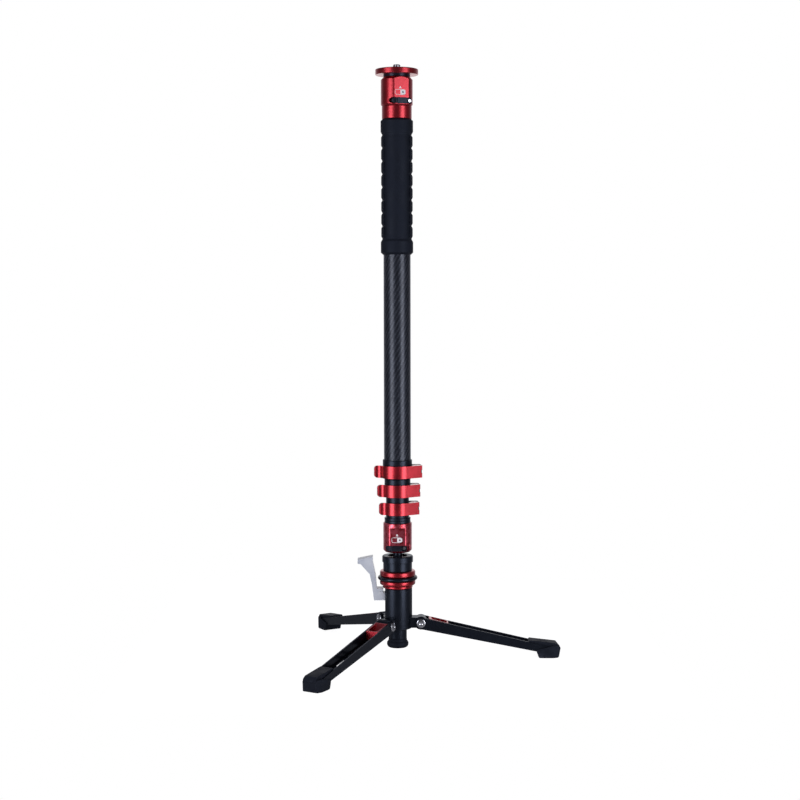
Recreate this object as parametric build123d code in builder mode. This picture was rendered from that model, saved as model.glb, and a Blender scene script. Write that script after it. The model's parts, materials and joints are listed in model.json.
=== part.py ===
from build123d import *

from math import acos, cos, degrees, radians, sin, sqrt
import os

os.makedirs("parts", exist_ok=True)

# A camera monopod with flip-lock levers, a pedal-braked ball base and three folding feet.
# All lengths are millimetres. Z points up and zero is the centre of the camera plate's top face.
# The pole is built downwards from there, as it stands closed, with its legs spread.

# Clearances
running_gap = 0.05
wide_gap = 0.1
body_gap = 0.3
cut_overrun = 2.0
edge_chamfer = 0.6

# Camera plate, stud and quick-release plug
stud_radius = 4.7625
stud_reach = 5.9
stud_root = 14.0
stud_root_radius = 4.5
stud_chamfer = 0.7
stud_relief_gap = 0.4
stud_relief_depth = 0.8
plate_radius = 26.8
plate_thickness = 7.0
plate_rounding = 1.0
plug_neck_radius = 16.6
plug_neck_height = 2.5
plug_radius = 9.0
plug_end_gap = 0.7
plug_groove_radius = 7.2

# Quick-release sleeves, one under the camera plate and one above the ball base
head_sleeve_height = 36.0
head_sleeve_radius = 19.9
head_sleeve_chamfer = 3.6
head_sleeve_azimuth = -70
head_flat_distance = 17.6
head_flat_margin = 1.5
base_sleeve_radius = 18.2
base_sleeve_top_edge = 0.8
base_sleeve_chamfer = 2.7
base_sleeve_height = 37.5
base_sleeve_azimuth = -90
base_flat_distance = 15.4
base_flat_top_margin = 5.5
base_flat_low_margin = 1.8
base_sleeve_web = 5.4
sleeve_foot_chamfer = 1.3
sleeve_foot_chamfer_height = 2.1
window_margin = 2.0
window_height = 7.4
window_length = 30.5

# Sliding lock bars in the sleeves
lock_length = 27.0
lock_height = 7.0
lock_inner_distance = 7.6
lock_proud = 0.6
lock_side_gap = 0.3
lock_bore_gap = 0.35
lock_groove_offset = 7.3
lock_groove_size = 0.8
lock_screw_radius = 1.6
lock_screw_head_radius = 2.9
lock_screw_head_height = 1.6
lock_screw_dome_height = 1.0
lock_screw_length = 6.0
head_lock_pocket_distance = 13.0
base_lock_pocket_distance = 10.5

# Collar and grip
head_collar_radius = 18.7
head_collar_height = 15.9
head_collar_web = 4.3
grip_height = 168.0
grip_end_radius = 20.25
grip_band_radius = 19.75
grip_groove_radius = 18.2
grip_first_groove = 19.5
grip_last_groove = 19.7
grip_groove_count = 9
grip_groove_slope = 1.95
grip_top_chamfer = 2.2
grip_foot_chamfer = 2.6
grip_front_angle = 58
grip_panel_angle = 42
grip_panel_proud = 0.6
grip_panel_margin = 3.0
grip_panel_rounding = 5.0

# Carbon tubes and the anti-twist guides at their tops
main_tube_radius = 17.0
tube_step = 2.0
tube_wall = 1.2
tube_showing = 258.2
tube_end_gap = 0.5
tube_travel = 355.0
guide_height = 25.0

# Lever clamps
clamp_heights = (24.0, 22.7, 22.7)
clamp_radii = (18.6, 16.5, 14.55)
clamp_gap = 0.3
clamp_tube_seat = 12.2
bush_thickness = 1.4
bush_end_gap = 0.5
bush_lip = 1.0
ear_thickness = 3.0
ear_split = 1.5
ear_offset = 6.5
ear_reach = 5.0
ear_rounding = 3.0
bolt_radius = 1.6
bolt_head_radius = 3.0
bolt_head_height = 3.0
bolt_root = 1.2

# Levers
lever_top_drop = 7.1
lever_height = 15.5
lever_thickness = 2.6
lever_radii = (22.0, 19.8, 17.7)
lever_arm_lengths = (24.1, 22.6, 22.6)
lever_tab_lengths = (1.4, 1.7, 1.6)
lever_arm_angle = 32.6
lever_tab_start_angles = (210, 218, 220)
lever_tab_angle = 193
lever_tab_curve = 8.0
lever_tab_rounding = 4.0
lever_pin_radius = 2.2
lever_pin_inset = 4.5
lever_cam_radius = 6.0
lever_cam_corner = 1.2
lever_taper_length = 18.0
lever_taper_angle = 120
lever_slot_half_height = 2.0
lever_slot_angles = (-12, 92)

# Base collar above the lower sleeve
base_neck_radius = 14.6
base_neck_height = 3.5
base_ring_radius = 16.5
base_ring_height = 6.2
base_ring_groove = 0.7
base_spigot_radius = 13.0
base_spigot_height = 10.2
base_spigot_web = 2.0

# Ball joint
stem_showing = 5.1
stem_radius = 6.0
ball_radius = 14.0
ball_drop = 13.6
cup_rim_radius = 19.6
cup_rim_height = 8.1
cup_rim_chamfer = 1.0
cup_mouth_radius = 12.4
cup_body_radius = 18.35
cup_skirt_radius = 17.0
cup_body_height = 10.5
cup_web_top_drop = 17.0
cup_web = 3.0
cup_web_hole_radius = 6.5
cup_lower_bore_radius = 11.5
cup_spigot_radius = 15.0
cup_spigot_height = 5.0
seat_height = 7.0
seat_hole_radius = 5.0

# Tension ring
ring_upper_height = 6.5
ring_groove_height = 6.1
ring_lower_height = 6.8
ring_lip_height = 2.7
ring_radius = 22.6
ring_groove_radius = 20.4
ring_lip_radius = 19.0
ring_chamfer = 0.8
o_ring_radius = 2.35

# Barrel and brake
barrel_radius = 18.5
barrel_height = 36.7
barrel_bore_radius = 13.2
barrel_flat_distance = 16.0
barrel_window_low = 19.6
barrel_window_high = 34.2
plunger_flange_radius = 11.0
plunger_flange_height = 3.0
plunger_shaft_radius = 4.0
plunger_upper_radius = 6.0
plunger_upper_gap = 2.1
plunger_root_gap = 0.6
spring_radius = 9.4
spring_wire_radius = 0.5
spring_turns = 5
spring_end_gap = 0.1

# Brake pedal, standing out to the left of the barrel
pedal_azimuth = 180
pedal_half_width = 8.0
pedal_reach = 50.8
pedal_rise = 56.0
pedal_low = 21.4
pedal_side_gap = 0.3
pedal_hinge_distance = 13.6
pedal_hinge_height = 26.4
pedal_pin_radius = 1.5
pedal_pin_length = 23.0
pedal_nose_radius = 2.2
pedal_prong_thickness = 3.5
pedal_slit = 0.5
pedal_slit_height = 11.4
pedal_slit_depth = 6.6

# Hub and ground peg
hub_radius = 18.2
hub_height = 15.3
hub_edge = 0.8
peg_socket_radius = 6.0
peg_socket_depth = 4.0
peg_radius = 11.6
peg_height = 13.2
peg_spigot_radius = 8.5
peg_spigot_height = 7.8
peg_foot_radius = 13.8
peg_foot_height = 11.3

# Legs
leg_azimuths = (0, 120, 240)
leg_pivot_radius = 29.7
leg_pivot_rise = 7.4
leg_pivot_height = 44.6
leg_tilt = 12.1
leg_length = 169.9
leg_half_height = 7.4
leg_end_half_height = 4.6
leg_half_width = 10.5
leg_wall = 1.8
leg_floor_start = 9.0
leg_window_half_width = 6.0
leg_window_spans = ((47.5, 72.5), (77.0, 86.0), (90.5, 114.5))
leg_window_rounding = 4.0
knuckle_radius = 8.4
knuckle_half_width = 8.4
arm_top = 14.5
arm_low = 1.3
leg_pin_radius = 3.0
leg_pin_head_radius = 5.7
leg_pin_head_thickness = 1.5

# Leg latches
latch_half_width = 8.5
latch_outer_end = 36.5
latch_top_end_inset = 2.6
latch_low = 4.5
latch_top_start = 7.7
latch_top_end = 7.0
latch_scoop_rim = 1.7
latch_scoop_start = 11.0
latch_scoop_depth = 5.6
latch_scoop_rounding = 3.5

# Rubber feet
foot_grip = 20.0
foot_length = 31.5
foot_block_height = 15.3
foot_half_width = 12.6
foot_cap_height = 22.2
foot_cap_lead = 10.0
foot_cap_half_width = 8.65

# Heights, worked out downwards from the camera plate
plate_low = -plate_thickness
head_sleeve_top = plate_low - plug_neck_height
head_sleeve_low = head_sleeve_top - head_sleeve_height
head_collar_low = head_sleeve_low - head_collar_height
grip_low = head_collar_low - grip_height
main_tube_top = head_sleeve_low - head_collar_web - tube_end_gap
clamp_tops = [grip_low - tube_showing]
for height in clamp_heights:
    clamp_tops.append(clamp_tops[-1] - height - clamp_gap)
base_neck_top = clamp_tops.pop()
base_ring_top = base_neck_top - base_neck_height
base_sleeve_top = base_ring_top - base_ring_height
base_sleeve_low = base_sleeve_top - base_sleeve_height
cup_top = base_sleeve_low - stem_showing
ball_centre = cup_top - ball_drop
cup_rim_low = cup_top - cup_rim_height
cup_body_low = cup_rim_low - cup_body_height
web_top = ball_centre - cup_web_top_drop
ring_top = cup_body_low - body_gap
ring_groove_top = ring_top - ring_upper_height
ring_groove_low = ring_groove_top - ring_groove_height
ring_lip_top = ring_groove_low - ring_lower_height
ring_low = ring_lip_top - ring_lip_height
barrel_top = ring_low - body_gap
barrel_low = barrel_top - barrel_height
hub_low = barrel_low - hub_height
peg_low = hub_low - peg_height
peg_foot_low = peg_low - peg_foot_height
pivot_z = hub_low + leg_pivot_rise
floor_z = pivot_z - leg_pivot_height

# Tube sizes and ends
tube_radii = [main_tube_radius - step * tube_step for step in range(len(clamp_heights) + 1)]
bore_radii = [radius - tube_wall for radius in tube_radii]
tube_lows = [top - clamp_tube_seat for top in clamp_tops]
tube_lows.append(base_sleeve_top - base_spigot_height + base_spigot_web)
tube_tops = [main_tube_top]
for low in tube_lows[:-1]:
    tube_tops.append(low - bush_end_gap + tube_travel + guide_height + tube_end_gap)


def save(piece, name):
    piece.part.label = name
    export_step(piece.part, f"parts/{name}.step")


def facing_plane(azimuth, distance):
    """A plane facing outwards at an azimuth: x runs sideways, anticlockwise from above, and y up."""
    outward = (cos(radians(azimuth)), sin(radians(azimuth)), 0)
    sideways = (-sin(radians(azimuth)), cos(radians(azimuth)), 0)
    origin = (distance * outward[0], distance * outward[1], 0)
    return Plane(origin=origin, x_dir=sideways, z_dir=outward)


def plan_plane(azimuth, height):
    """A level plane: x runs outwards at an azimuth and y sideways, anticlockwise from above."""
    outward = (cos(radians(azimuth)), sin(radians(azimuth)), 0)
    return Plane(origin=(0, 0, height), x_dir=outward, z_dir=(0, 0, 1))


def side_plane(azimuth, height=0):
    """An upright plane through the axis: x runs outwards at an azimuth and y up."""
    outward = (cos(radians(azimuth)), sin(radians(azimuth)), 0)
    return Plane(origin=(0, 0, height), x_dir=outward, z_dir=(outward[1], -outward[0], 0))


def spin(outline, mode=Mode.ADD):
    """A solid turned about the pole's axis from (radius, height) points."""
    with BuildSketch(Plane.XZ) as section:
        with BuildLine():
            Polyline(*outline, close=True)
        make_face()
    revolve(section.sketch, axis=Axis.Z, mode=mode)


def bar(radius, low, high, mode=Mode.ADD):
    """A round bar on the pole's axis between two heights."""
    with BuildSketch(Plane.XY.offset(low)) as section:
        Circle(radius)
    extrude(section.sketch, amount=high - low, mode=mode)


def tube(outer_radius, inner_radius, low, high):
    """A round tube on the pole's axis between two heights."""
    with BuildPart() as piece:
        bar(outer_radius, low, high)
        bar(inner_radius, low, high, Mode.SUBTRACT)
    return piece


def cross_bar(radius, plane, start, end, mode=Mode.ADD, centre=(0, 0)):
    """A round bar square to a plane, from start to end along the plane's normal."""
    with BuildSketch(plane.offset(start)) as section:
        with Locations(centre):
            Circle(radius)
    extrude(section.sketch, amount=end - start, mode=mode)


def block(plane, outline, half_width, mode=Mode.ADD):
    """An outline on a plane, made solid by half_width to each side."""
    with BuildSketch(plane) as section:
        with BuildLine():
            Polyline(*outline, close=True)
        make_face()
    extrude(section.sketch, amount=half_width, both=True, mode=mode)


def scaled(shares, width, height, start=(0, 0)):
    """Outline points from shares of a width and a height, measured from a start."""
    return [(start[0] + across * width, start[1] + up * height) for across, up in shares]


# Camera plate with its stud
plug_low = head_sleeve_low + plug_end_gap

with BuildPart() as camera_stud:
    bar(stud_radius, 0, stud_reach)
    chamfer(camera_stud.edges().filter_by(GeomType.CIRCLE).group_by(Axis.Z)[-1], stud_chamfer)
    bar(stud_root_radius, -stud_root, 0)
save(camera_stud, "camera_stud")

with BuildPart() as camera_plate:
    bar(plate_radius, plate_low, 0)
    fillet(camera_plate.edges().filter_by(GeomType.CIRCLE), plate_rounding)
    bar(stud_root_radius + running_gap, plate_low, 0, Mode.SUBTRACT)
    bar(stud_radius + stud_relief_gap, -stud_relief_depth, 0, Mode.SUBTRACT)
save(camera_plate, "camera_plate")

# Quick-release plug: the lock bar enters its groove
head_window_low = head_sleeve_low + window_margin
with BuildPart() as head_plug:
    bar(plug_neck_radius, head_sleeve_top, plate_low)
    bar(plug_radius, plug_low, head_sleeve_top)
    chamfer(head_plug.edges().filter_by(GeomType.CIRCLE).group_by(Axis.Z)[0], edge_chamfer)
    bar(stud_root_radius + running_gap, -stud_root - running_gap, plate_low, Mode.SUBTRACT)
    spin(
        [
            (plug_groove_radius, head_window_low),
            (plug_radius + cut_overrun, head_window_low),
            (plug_radius + cut_overrun, head_window_low + window_height),
            (plug_groove_radius, head_window_low + window_height),
        ],
        Mode.SUBTRACT,
    )
save(head_plug, "head_plug")


def cut_flat(azimuth, distance, radius, low, high):
    """Mills a flat on a round sleeve between two heights."""
    with BuildSketch(facing_plane(azimuth, distance)) as section:
        with Locations((0, (low + high) / 2)):
            Rectangle(2 * radius, high - low)
    extrude(section.sketch, amount=radius, mode=Mode.SUBTRACT)


def cut_window(azimuth, radius, low):
    """Mills the round-ended window that the lock bar slides in."""
    plane = facing_plane(azimuth, lock_inner_distance - wide_gap)
    with BuildSketch(plane) as section:
        with Locations((0, low + window_height / 2)):
            SlotOverall(window_length, window_height)
    extrude(section.sketch, amount=radius, mode=Mode.SUBTRACT)


# Upper sleeve
with BuildPart() as head_sleeve:
    spin(
        [
            (plug_radius + running_gap, head_sleeve_top),
            (head_sleeve_radius - head_sleeve_chamfer, head_sleeve_top),
            (head_sleeve_radius, head_sleeve_top - head_sleeve_chamfer),
            (head_sleeve_radius, head_sleeve_low + sleeve_foot_chamfer_height),
            (head_sleeve_radius - sleeve_foot_chamfer, head_sleeve_low),
            (plug_radius + running_gap, head_sleeve_low),
        ]
    )
    cut_flat(
        head_sleeve_azimuth,
        head_flat_distance,
        head_sleeve_radius,
        head_sleeve_low + head_flat_margin,
        head_sleeve_top + cut_overrun,
    )
    cut_window(head_sleeve_azimuth, head_sleeve_radius, head_window_low)
save(head_sleeve, "head_sleeve")

# Lower sleeve, closed above the plug and bored from the top for the base collar
base_window_low = base_sleeve_low + window_margin
spigot_low = base_sleeve_top - base_spigot_height
base_plug_top = spigot_low - base_sleeve_web
with BuildPart() as base_sleeve:
    spin(
        [
            (0, base_sleeve_top),
            (base_sleeve_radius - base_sleeve_top_edge, base_sleeve_top),
            (base_sleeve_radius, base_sleeve_top - base_sleeve_top_edge),
            (base_sleeve_radius, base_sleeve_low + base_sleeve_chamfer),
            (base_sleeve_radius - base_sleeve_chamfer, base_sleeve_low),
            (0, base_sleeve_low),
        ]
    )
    bar(base_spigot_radius + running_gap, spigot_low, base_sleeve_top, Mode.SUBTRACT)
    bar(plug_radius + running_gap, base_sleeve_low, base_plug_top, Mode.SUBTRACT)
    cut_flat(
        base_sleeve_azimuth,
        base_flat_distance,
        base_sleeve_radius,
        base_sleeve_low + base_flat_low_margin,
        base_sleeve_top - base_flat_top_margin,
    )
    cut_window(base_sleeve_azimuth, base_sleeve_radius, base_window_low)
save(base_sleeve, "base_sleeve")

# Lock bars, drawn unlocked: the upper one at the right-hand end of its window, the lower at the left
lock_shift = window_length / 2 - lock_side_gap - lock_length / 2
lock_screw_lead = lock_length / 2 - lock_height / 2


def lock_bar(azimuth, flat_distance, radius, window_low, pocket_distance, lock_centre):
    """A lock bar: round-ended across its window, hollowed for the plug, with a screw pocket."""
    low = window_low + (window_height - lock_height) / 2
    middle = low + lock_height / 2
    face = facing_plane(azimuth, 0)
    depth = flat_distance + lock_proud - lock_inner_distance
    with BuildPart() as piece:
        with BuildSketch(plan_plane(azimuth, low)) as plan:
            with Locations((lock_inner_distance + depth / 2, lock_centre)):
                Rectangle(depth, lock_length)
            Circle(radius - lock_side_gap, mode=Mode.INTERSECT)
            Circle(plug_radius + lock_bore_gap, mode=Mode.SUBTRACT)
        extrude(plan.sketch, amount=lock_height)
        with BuildSketch(face) as ends:
            with Locations((lock_centre, middle)):
                SlotOverall(lock_length, lock_height)
        extrude(ends.sketch, amount=radius, mode=Mode.INTERSECT)
        with BuildSketch(facing_plane(azimuth, flat_distance + lock_proud - lock_groove_size)) as grooves:
            for side in (-lock_groove_offset, lock_groove_offset):
                with Locations((lock_centre + side, middle)):
                    Rectangle(lock_groove_size, lock_height)
        extrude(grooves.sketch, amount=radius, mode=Mode.SUBTRACT)
        centre = (lock_centre + lock_screw_lead, middle)
        pocket_radius = lock_screw_head_radius + wide_gap
        cross_bar(pocket_radius, face, pocket_distance, radius, Mode.SUBTRACT, centre)
        hole_radius = lock_screw_radius + running_gap
        cross_bar(hole_radius, face, 0, radius, Mode.SUBTRACT, centre)
    return piece


def lock_screw(azimuth, window_low, pocket_distance, lock_centre):
    """The bright screw in a lock bar: a shank, a head in the pocket and a domed top."""
    middle = window_low + window_height / 2
    shank_start = pocket_distance - lock_screw_length / 2
    head_end = pocket_distance + lock_screw_head_height
    face = facing_plane(azimuth, 0)
    centre = (lock_centre + lock_screw_lead, middle)
    with BuildPart() as piece:
        cross_bar(lock_screw_radius, face, shank_start, pocket_distance, centre=centre)
        cross_bar(lock_screw_head_radius, face, pocket_distance, head_end, centre=centre)
        with BuildSketch(face.offset(head_end)) as dome:
            with Locations(centre):
                Circle(lock_screw_head_radius)
        extrude(dome.sketch, amount=lock_screw_dome_height, taper=45)
    return piece


head_lock = (head_sleeve_azimuth, head_flat_distance, head_sleeve_radius, head_window_low)
base_lock = (base_sleeve_azimuth, base_flat_distance, base_sleeve_radius, base_window_low)
head_pocket = (head_lock_pocket_distance, lock_shift)
base_pocket = (base_lock_pocket_distance, -lock_shift)
save(lock_bar(*head_lock, *head_pocket), "head_lock_slider")
save(lock_bar(*base_lock, *base_pocket), "base_lock_slider")
save(lock_screw(head_sleeve_azimuth, head_window_low, *head_pocket), "head_lock_screw")
save(lock_screw(base_sleeve_azimuth, base_window_low, *base_pocket), "base_lock_screw")

# Collar that carries the upper sleeve on the main tube
with BuildPart() as head_collar:
    bar(head_collar_radius, head_collar_low, head_sleeve_low)
    chamfer(head_collar.edges().filter_by(GeomType.CIRCLE), edge_chamfer)
    bar(
        main_tube_radius + running_gap,
        head_collar_low,
        head_sleeve_low - head_collar_web,
        Mode.SUBTRACT,
    )
save(head_collar, "head_collar")

# Foam grip: ring grooves round the back and sides, and a smooth raised panel at the front
grip_bore = main_tube_radius + running_gap
grip_groove_pitch = (grip_height - grip_first_groove - grip_last_groove) / (grip_groove_count - 1)
groove_heights = [
    head_collar_low - grip_first_groove - number * grip_groove_pitch
    for number in range(grip_groove_count)
]
end_rise = (grip_end_radius - grip_groove_radius) * grip_groove_slope
band_rise = (grip_band_radius - grip_groove_radius) * grip_groove_slope
grip_outline = [
    (grip_bore, head_collar_low),
    (grip_end_radius - grip_top_chamfer, head_collar_low),
    (grip_end_radius, head_collar_low - grip_top_chamfer),
    (grip_end_radius, groove_heights[0] + end_rise),
]
for upper, lower in zip(groove_heights, groove_heights[1:]):
    grip_outline.append((grip_groove_radius, upper))
    grip_outline.append((grip_band_radius, upper - band_rise))
    grip_outline.append((grip_band_radius, lower + band_rise))
grip_outline.append((grip_groove_radius, groove_heights[-1]))
grip_outline.append((grip_end_radius, groove_heights[-1] - end_rise))
grip_outline.append((grip_end_radius, grip_low + grip_foot_chamfer))
grip_outline.append((grip_end_radius - grip_foot_chamfer, grip_low))
grip_outline.append((grip_bore, grip_low))

panel_radius = grip_groove_radius + grip_panel_proud
panel_low = groove_heights[-1] + grip_panel_margin
panel_high = groove_heights[0] - grip_panel_margin
panel_width = 2 * panel_radius * sin(radians(grip_panel_angle))
with BuildPart() as grip_panel:
    with BuildSketch(facing_plane(-90, 0)):
        with Locations((0, (panel_low + panel_high) / 2)):
            RectangleRounded(panel_width, panel_high - panel_low, grip_panel_rounding)
    extrude(amount=grip_end_radius)
    bar(panel_radius, panel_low, panel_high, Mode.INTERSECT)
    bar(grip_bore, panel_low, panel_high, Mode.SUBTRACT)

with BuildPart() as grip:
    spin(grip_outline)
    front_reach = grip_end_radius / cos(radians(grip_front_angle))
    with BuildSketch(plan_plane(-90, groove_heights[-1])) as front:
        with BuildLine():
            far_side = front_reach * sin(radians(grip_front_angle))
            Polyline((0, 0), (grip_end_radius, -far_side), (grip_end_radius, far_side), close=True)
        make_face()
        Circle(grip_groove_radius, mode=Mode.SUBTRACT)
    extrude(front.sketch, amount=groove_heights[0] - groove_heights[-1], mode=Mode.SUBTRACT)
    add(grip_panel.part)
save(grip, "grip")

# Carbon tubes, each sliding in the one above, and the guides glued round the inner tubes' tops
tube_names = ("main_tube", "tube_2", "tube_3", "tube_4")
for name, radius, bore, low, high in zip(tube_names, tube_radii, bore_radii, tube_lows, tube_tops):
    save(tube(radius, bore, low, high), name)
for number in range(1, len(tube_names)):
    high = tube_tops[number]
    outer_radius = bore_radii[number - 1] - wide_gap
    inner_radius = tube_radii[number] + running_gap
    save(tube(outer_radius, inner_radius, high - guide_height, high), f"{tube_names[number]}_guide")


# Lever geometry that the clamp bodies share
arm_direction = (cos(radians(lever_arm_angle)), sin(radians(lever_arm_angle)))
arm_outward = (arm_direction[1], -arm_direction[0])


def tangent_point(number):
    """Where a lever's straight arm leaves its arc."""
    radius = lever_radii[number]
    return (radius * arm_outward[0], radius * arm_outward[1])


def lever_pivot(number):
    """The centre of a lever's pin, set in from the end and the outer face of the arm."""
    along = lever_arm_lengths[number] - lever_pin_inset
    start = tangent_point(number)
    return tuple(
        start[axis] + along * arm_direction[axis] - lever_pin_inset * arm_outward[axis]
        for axis in (0, 1)
    )


def lever_arm_plane(number, height):
    """A level plane with x along the lever's straight arm and y in towards the pole."""
    start = tangent_point(number)
    return Plane(origin=(*start, height), x_dir=(*arm_direction, 0), z_dir=(0, 0, 1))


def clamp_body(number):
    """A clamp: a collar glued round one tube, split and eared below to grip the next."""
    top = clamp_tops[number]
    low = top - clamp_heights[number]
    ear_top = top - lever_top_drop
    ear_low = ear_top - lever_height
    pivot_x, pivot_y = lever_pivot(number)
    ear_start = pivot_y + ear_offset
    ear_width = 2 * ear_thickness + ear_split
    ear_end_x = pivot_x + ear_reach
    inner_tube = tube_radii[number + 1]
    split_low = ear_start + ear_thickness
    with BuildPart() as body:
        bar(clamp_radii[number], low, top)
        chamfer(body.edges().filter_by(GeomType.CIRCLE), edge_chamfer)
        with BuildSketch(Plane.XY.offset(ear_low)) as ears:
            with Locations((ear_end_x / 2, ear_start + ear_width / 2)):
                Rectangle(ear_end_x, ear_width)
        extrude(ears.sketch, amount=lever_height)
        corners = body.edges().filter_by(Axis.Y).group_by(Axis.X)[-1]
        fillet(corners, ear_rounding)
        bar(tube_radii[number] + running_gap, top - clamp_tube_seat, top, Mode.SUBTRACT)
        bush_outer = inner_tube + wide_gap + bush_thickness + running_gap
        bar(bush_outer, low + bush_lip, top, Mode.SUBTRACT)
        bar(inner_tube + body_gap, low, top, Mode.SUBTRACT)
        with BuildSketch(Plane.XY.offset(low)) as split:
            with Locations((ear_end_x, split_low + ear_split / 2)):
                Rectangle(2 * ear_end_x, ear_split)
        extrude(split.sketch, amount=ear_top - low, mode=Mode.SUBTRACT)
        hole = Plane(
            origin=(pivot_x, ear_start, ear_low + lever_height / 2),
            x_dir=(1, 0, 0),
            z_dir=(0, 1, 0),
        )
        cross_bar(bolt_radius + running_gap, hole, 0, ear_width, Mode.SUBTRACT)
    return body


def clamp_bush(number):
    """The split plastic bush between a clamp and the tube it grips."""
    top = clamp_tops[number] - clamp_tube_seat - bush_end_gap
    low = clamp_tops[number] - clamp_heights[number] + bush_lip
    inner_radius = tube_radii[number + 1] + wide_gap
    split_middle = lever_pivot(number)[1] + ear_offset + ear_thickness + ear_split / 2
    with BuildPart() as bush:
        bar(inner_radius + bush_thickness, low, top)
        bar(inner_radius, low, top, Mode.SUBTRACT)
        with BuildSketch(Plane.XY.offset(low)) as split:
            with Locations((inner_radius, split_middle)):
                Rectangle(2 * inner_radius, ear_split)
        extrude(split.sketch, amount=top - low, mode=Mode.SUBTRACT)
    return bush


def lever_pin(number):
    """The upright pin in the lever's cam, drilled across for the clamp's bolt."""
    pivot_x, pivot_y = lever_pivot(number)
    low = clamp_tops[number] - lever_top_drop - lever_height
    with BuildPart() as pin:
        with BuildSketch(Plane.XY.offset(low)) as section:
            with Locations((pivot_x, pivot_y)):
                Circle(lever_pin_radius)
        extrude(section.sketch, amount=lever_height)
        hole = Plane(
            origin=(pivot_x, pivot_y, low + lever_height / 2), x_dir=(1, 0, 0), z_dir=(0, 1, 0)
        )
        reach = lever_pin_radius
        cross_bar(bolt_radius + running_gap, hole, -reach, reach, Mode.SUBTRACT)
    return pin


def clamp_bolt(number):
    """The bolt from the lever's pin through both ears, with its head behind them."""
    pivot_x, pivot_y = lever_pivot(number)
    middle = clamp_tops[number] - lever_top_drop - lever_height / 2
    head_start = ear_offset + 2 * ear_thickness + ear_split
    along = Plane(origin=(pivot_x, pivot_y, middle), x_dir=(1, 0, 0), z_dir=(0, 1, 0))
    with BuildPart() as bolt:
        cross_bar(bolt_radius, along, -bolt_root, head_start)
        cross_bar(bolt_head_radius, along, head_start, head_start + bolt_head_height)
    return bolt


def lever(number):
    """A flip lever: a curved strip round the front with a finger tab and a cam end at its pin."""
    radius = lever_radii[number]
    inner_radius = radius - lever_thickness
    arm_length = lever_arm_lengths[number]
    low = clamp_tops[number] - lever_top_drop - lever_height
    middle = low + lever_height / 2
    pin_at = (arm_length - lever_pin_inset, lever_pin_inset)
    cam_back = lever_pin_inset + sqrt(lever_cam_radius**2 - lever_pin_inset**2)
    cam_end_angle = degrees(acos(lever_pin_inset / lever_cam_radius))
    taper_start = arm_length - lever_taper_length
    taper_angle = radians(lever_taper_angle)
    taper_end = (
        pin_at[0] + lever_cam_radius * cos(taper_angle),
        pin_at[1] + lever_cam_radius * sin(taper_angle),
    )
    arc_start = radians(lever_arm_angle - 90)
    arc_end = radians(lever_tab_start_angles[number])
    tab_angle = radians(lever_tab_angle)
    tab_length = lever_tab_lengths[number]
    # Past the arc the strip bends back the other way, about a centre in front of it
    bend_start = lever_tab_start_angles[number] - 180
    bend_sweep = lever_tab_angle - 90 - bend_start
    bend_distance = radius + lever_tab_curve
    bend_centre = (bend_distance * cos(arc_end), bend_distance * sin(arc_end))
    tab_step = Vector(tab_length * cos(tab_angle), tab_length * sin(tab_angle))
    far = 2 * radius
    with BuildPart() as piece:
        with BuildSketch(Plane.XY.offset(low)) as strip:
            with BuildLine():
                Polyline(
                    (0, 0),
                    (far * cos(arc_start), far * sin(arc_start)),
                    (far * cos(arc_end), far * sin(arc_end)),
                    close=True,
                )
            make_face()
            Circle(radius, mode=Mode.INTERSECT)
            with BuildLine():
                bend_face = CenterArc(bend_centre, lever_tab_curve, bend_start, bend_sweep)
                bend_back = CenterArc(
                    bend_centre, lever_tab_curve + lever_thickness, bend_start, bend_sweep
                )
                tab_face = bend_face @ 1 + tab_step
                tab_rear = bend_back @ 1 + tab_step
                Polyline(bend_face @ 1, tab_face, tab_rear, bend_back @ 1)
                Line(bend_back @ 0, bend_face @ 0)
            make_face()
        extrude(strip.sketch, amount=lever_height)
        with BuildSketch(lever_arm_plane(number, low)) as arm:
            with BuildLine():
                Polyline(
                    (0, 0),
                    (arm_length - lever_cam_corner, 0),
                    (arm_length, lever_cam_corner),
                    (arm_length, cam_back),
                    pin_at,
                    taper_end,
                    (taper_start, lever_thickness),
                    (0, lever_thickness),
                    close=True,
                )
            make_face()
            with BuildLine():
                # The round back of the cam, from the taper's end to the end face
                back = CenterArc(
                    pin_at, lever_cam_radius, lever_taper_angle, cam_end_angle - lever_taper_angle
                )
                Polyline(back @ 1, pin_at, back @ 0)
            make_face()
        extrude(arm.sketch, amount=lever_height)
        bar(inner_radius, low, low + lever_height, Mode.SUBTRACT)
        cross_bar(
            lever_pin_radius + running_gap,
            lever_arm_plane(number, low),
            0,
            lever_height,
            Mode.SUBTRACT,
            pin_at,
        )
        pivot_x, pivot_y = lever_pivot(number)
        # The bolt stays still while the lever turns, so its slot is a widening notch
        slot_reach = 3 * lever_cam_radius
        slot_start, slot_end = (radians(angle) for angle in lever_slot_angles)
        slot_half = (slot_end - slot_start) / 2
        set_back = (bolt_radius + body_gap) / sin(slot_half)
        apex = (
            -set_back * cos(slot_start + slot_half),
            -set_back * sin(slot_start + slot_half),
        )
        slot_plane = Plane(origin=(pivot_x, pivot_y, middle), x_dir=(1, 0, 0), z_dir=(0, 0, 1))
        slot_outline = [
            apex,
            (apex[0] + slot_reach * cos(slot_start), apex[1] + slot_reach * sin(slot_start)),
            (slot_reach, slot_reach),
            (apex[0] + slot_reach * cos(slot_end), apex[1] + slot_reach * sin(slot_end)),
        ]
        block(slot_plane, slot_outline, lever_slot_half_height, Mode.SUBTRACT)
        for height in (low, low + lever_height):
            corner = (tab_face + tab_rear) / 2 + Vector(0, 0, height)
            fillet(piece.edges().sort_by_distance(corner)[0], lever_tab_rounding)
    return piece


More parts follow.
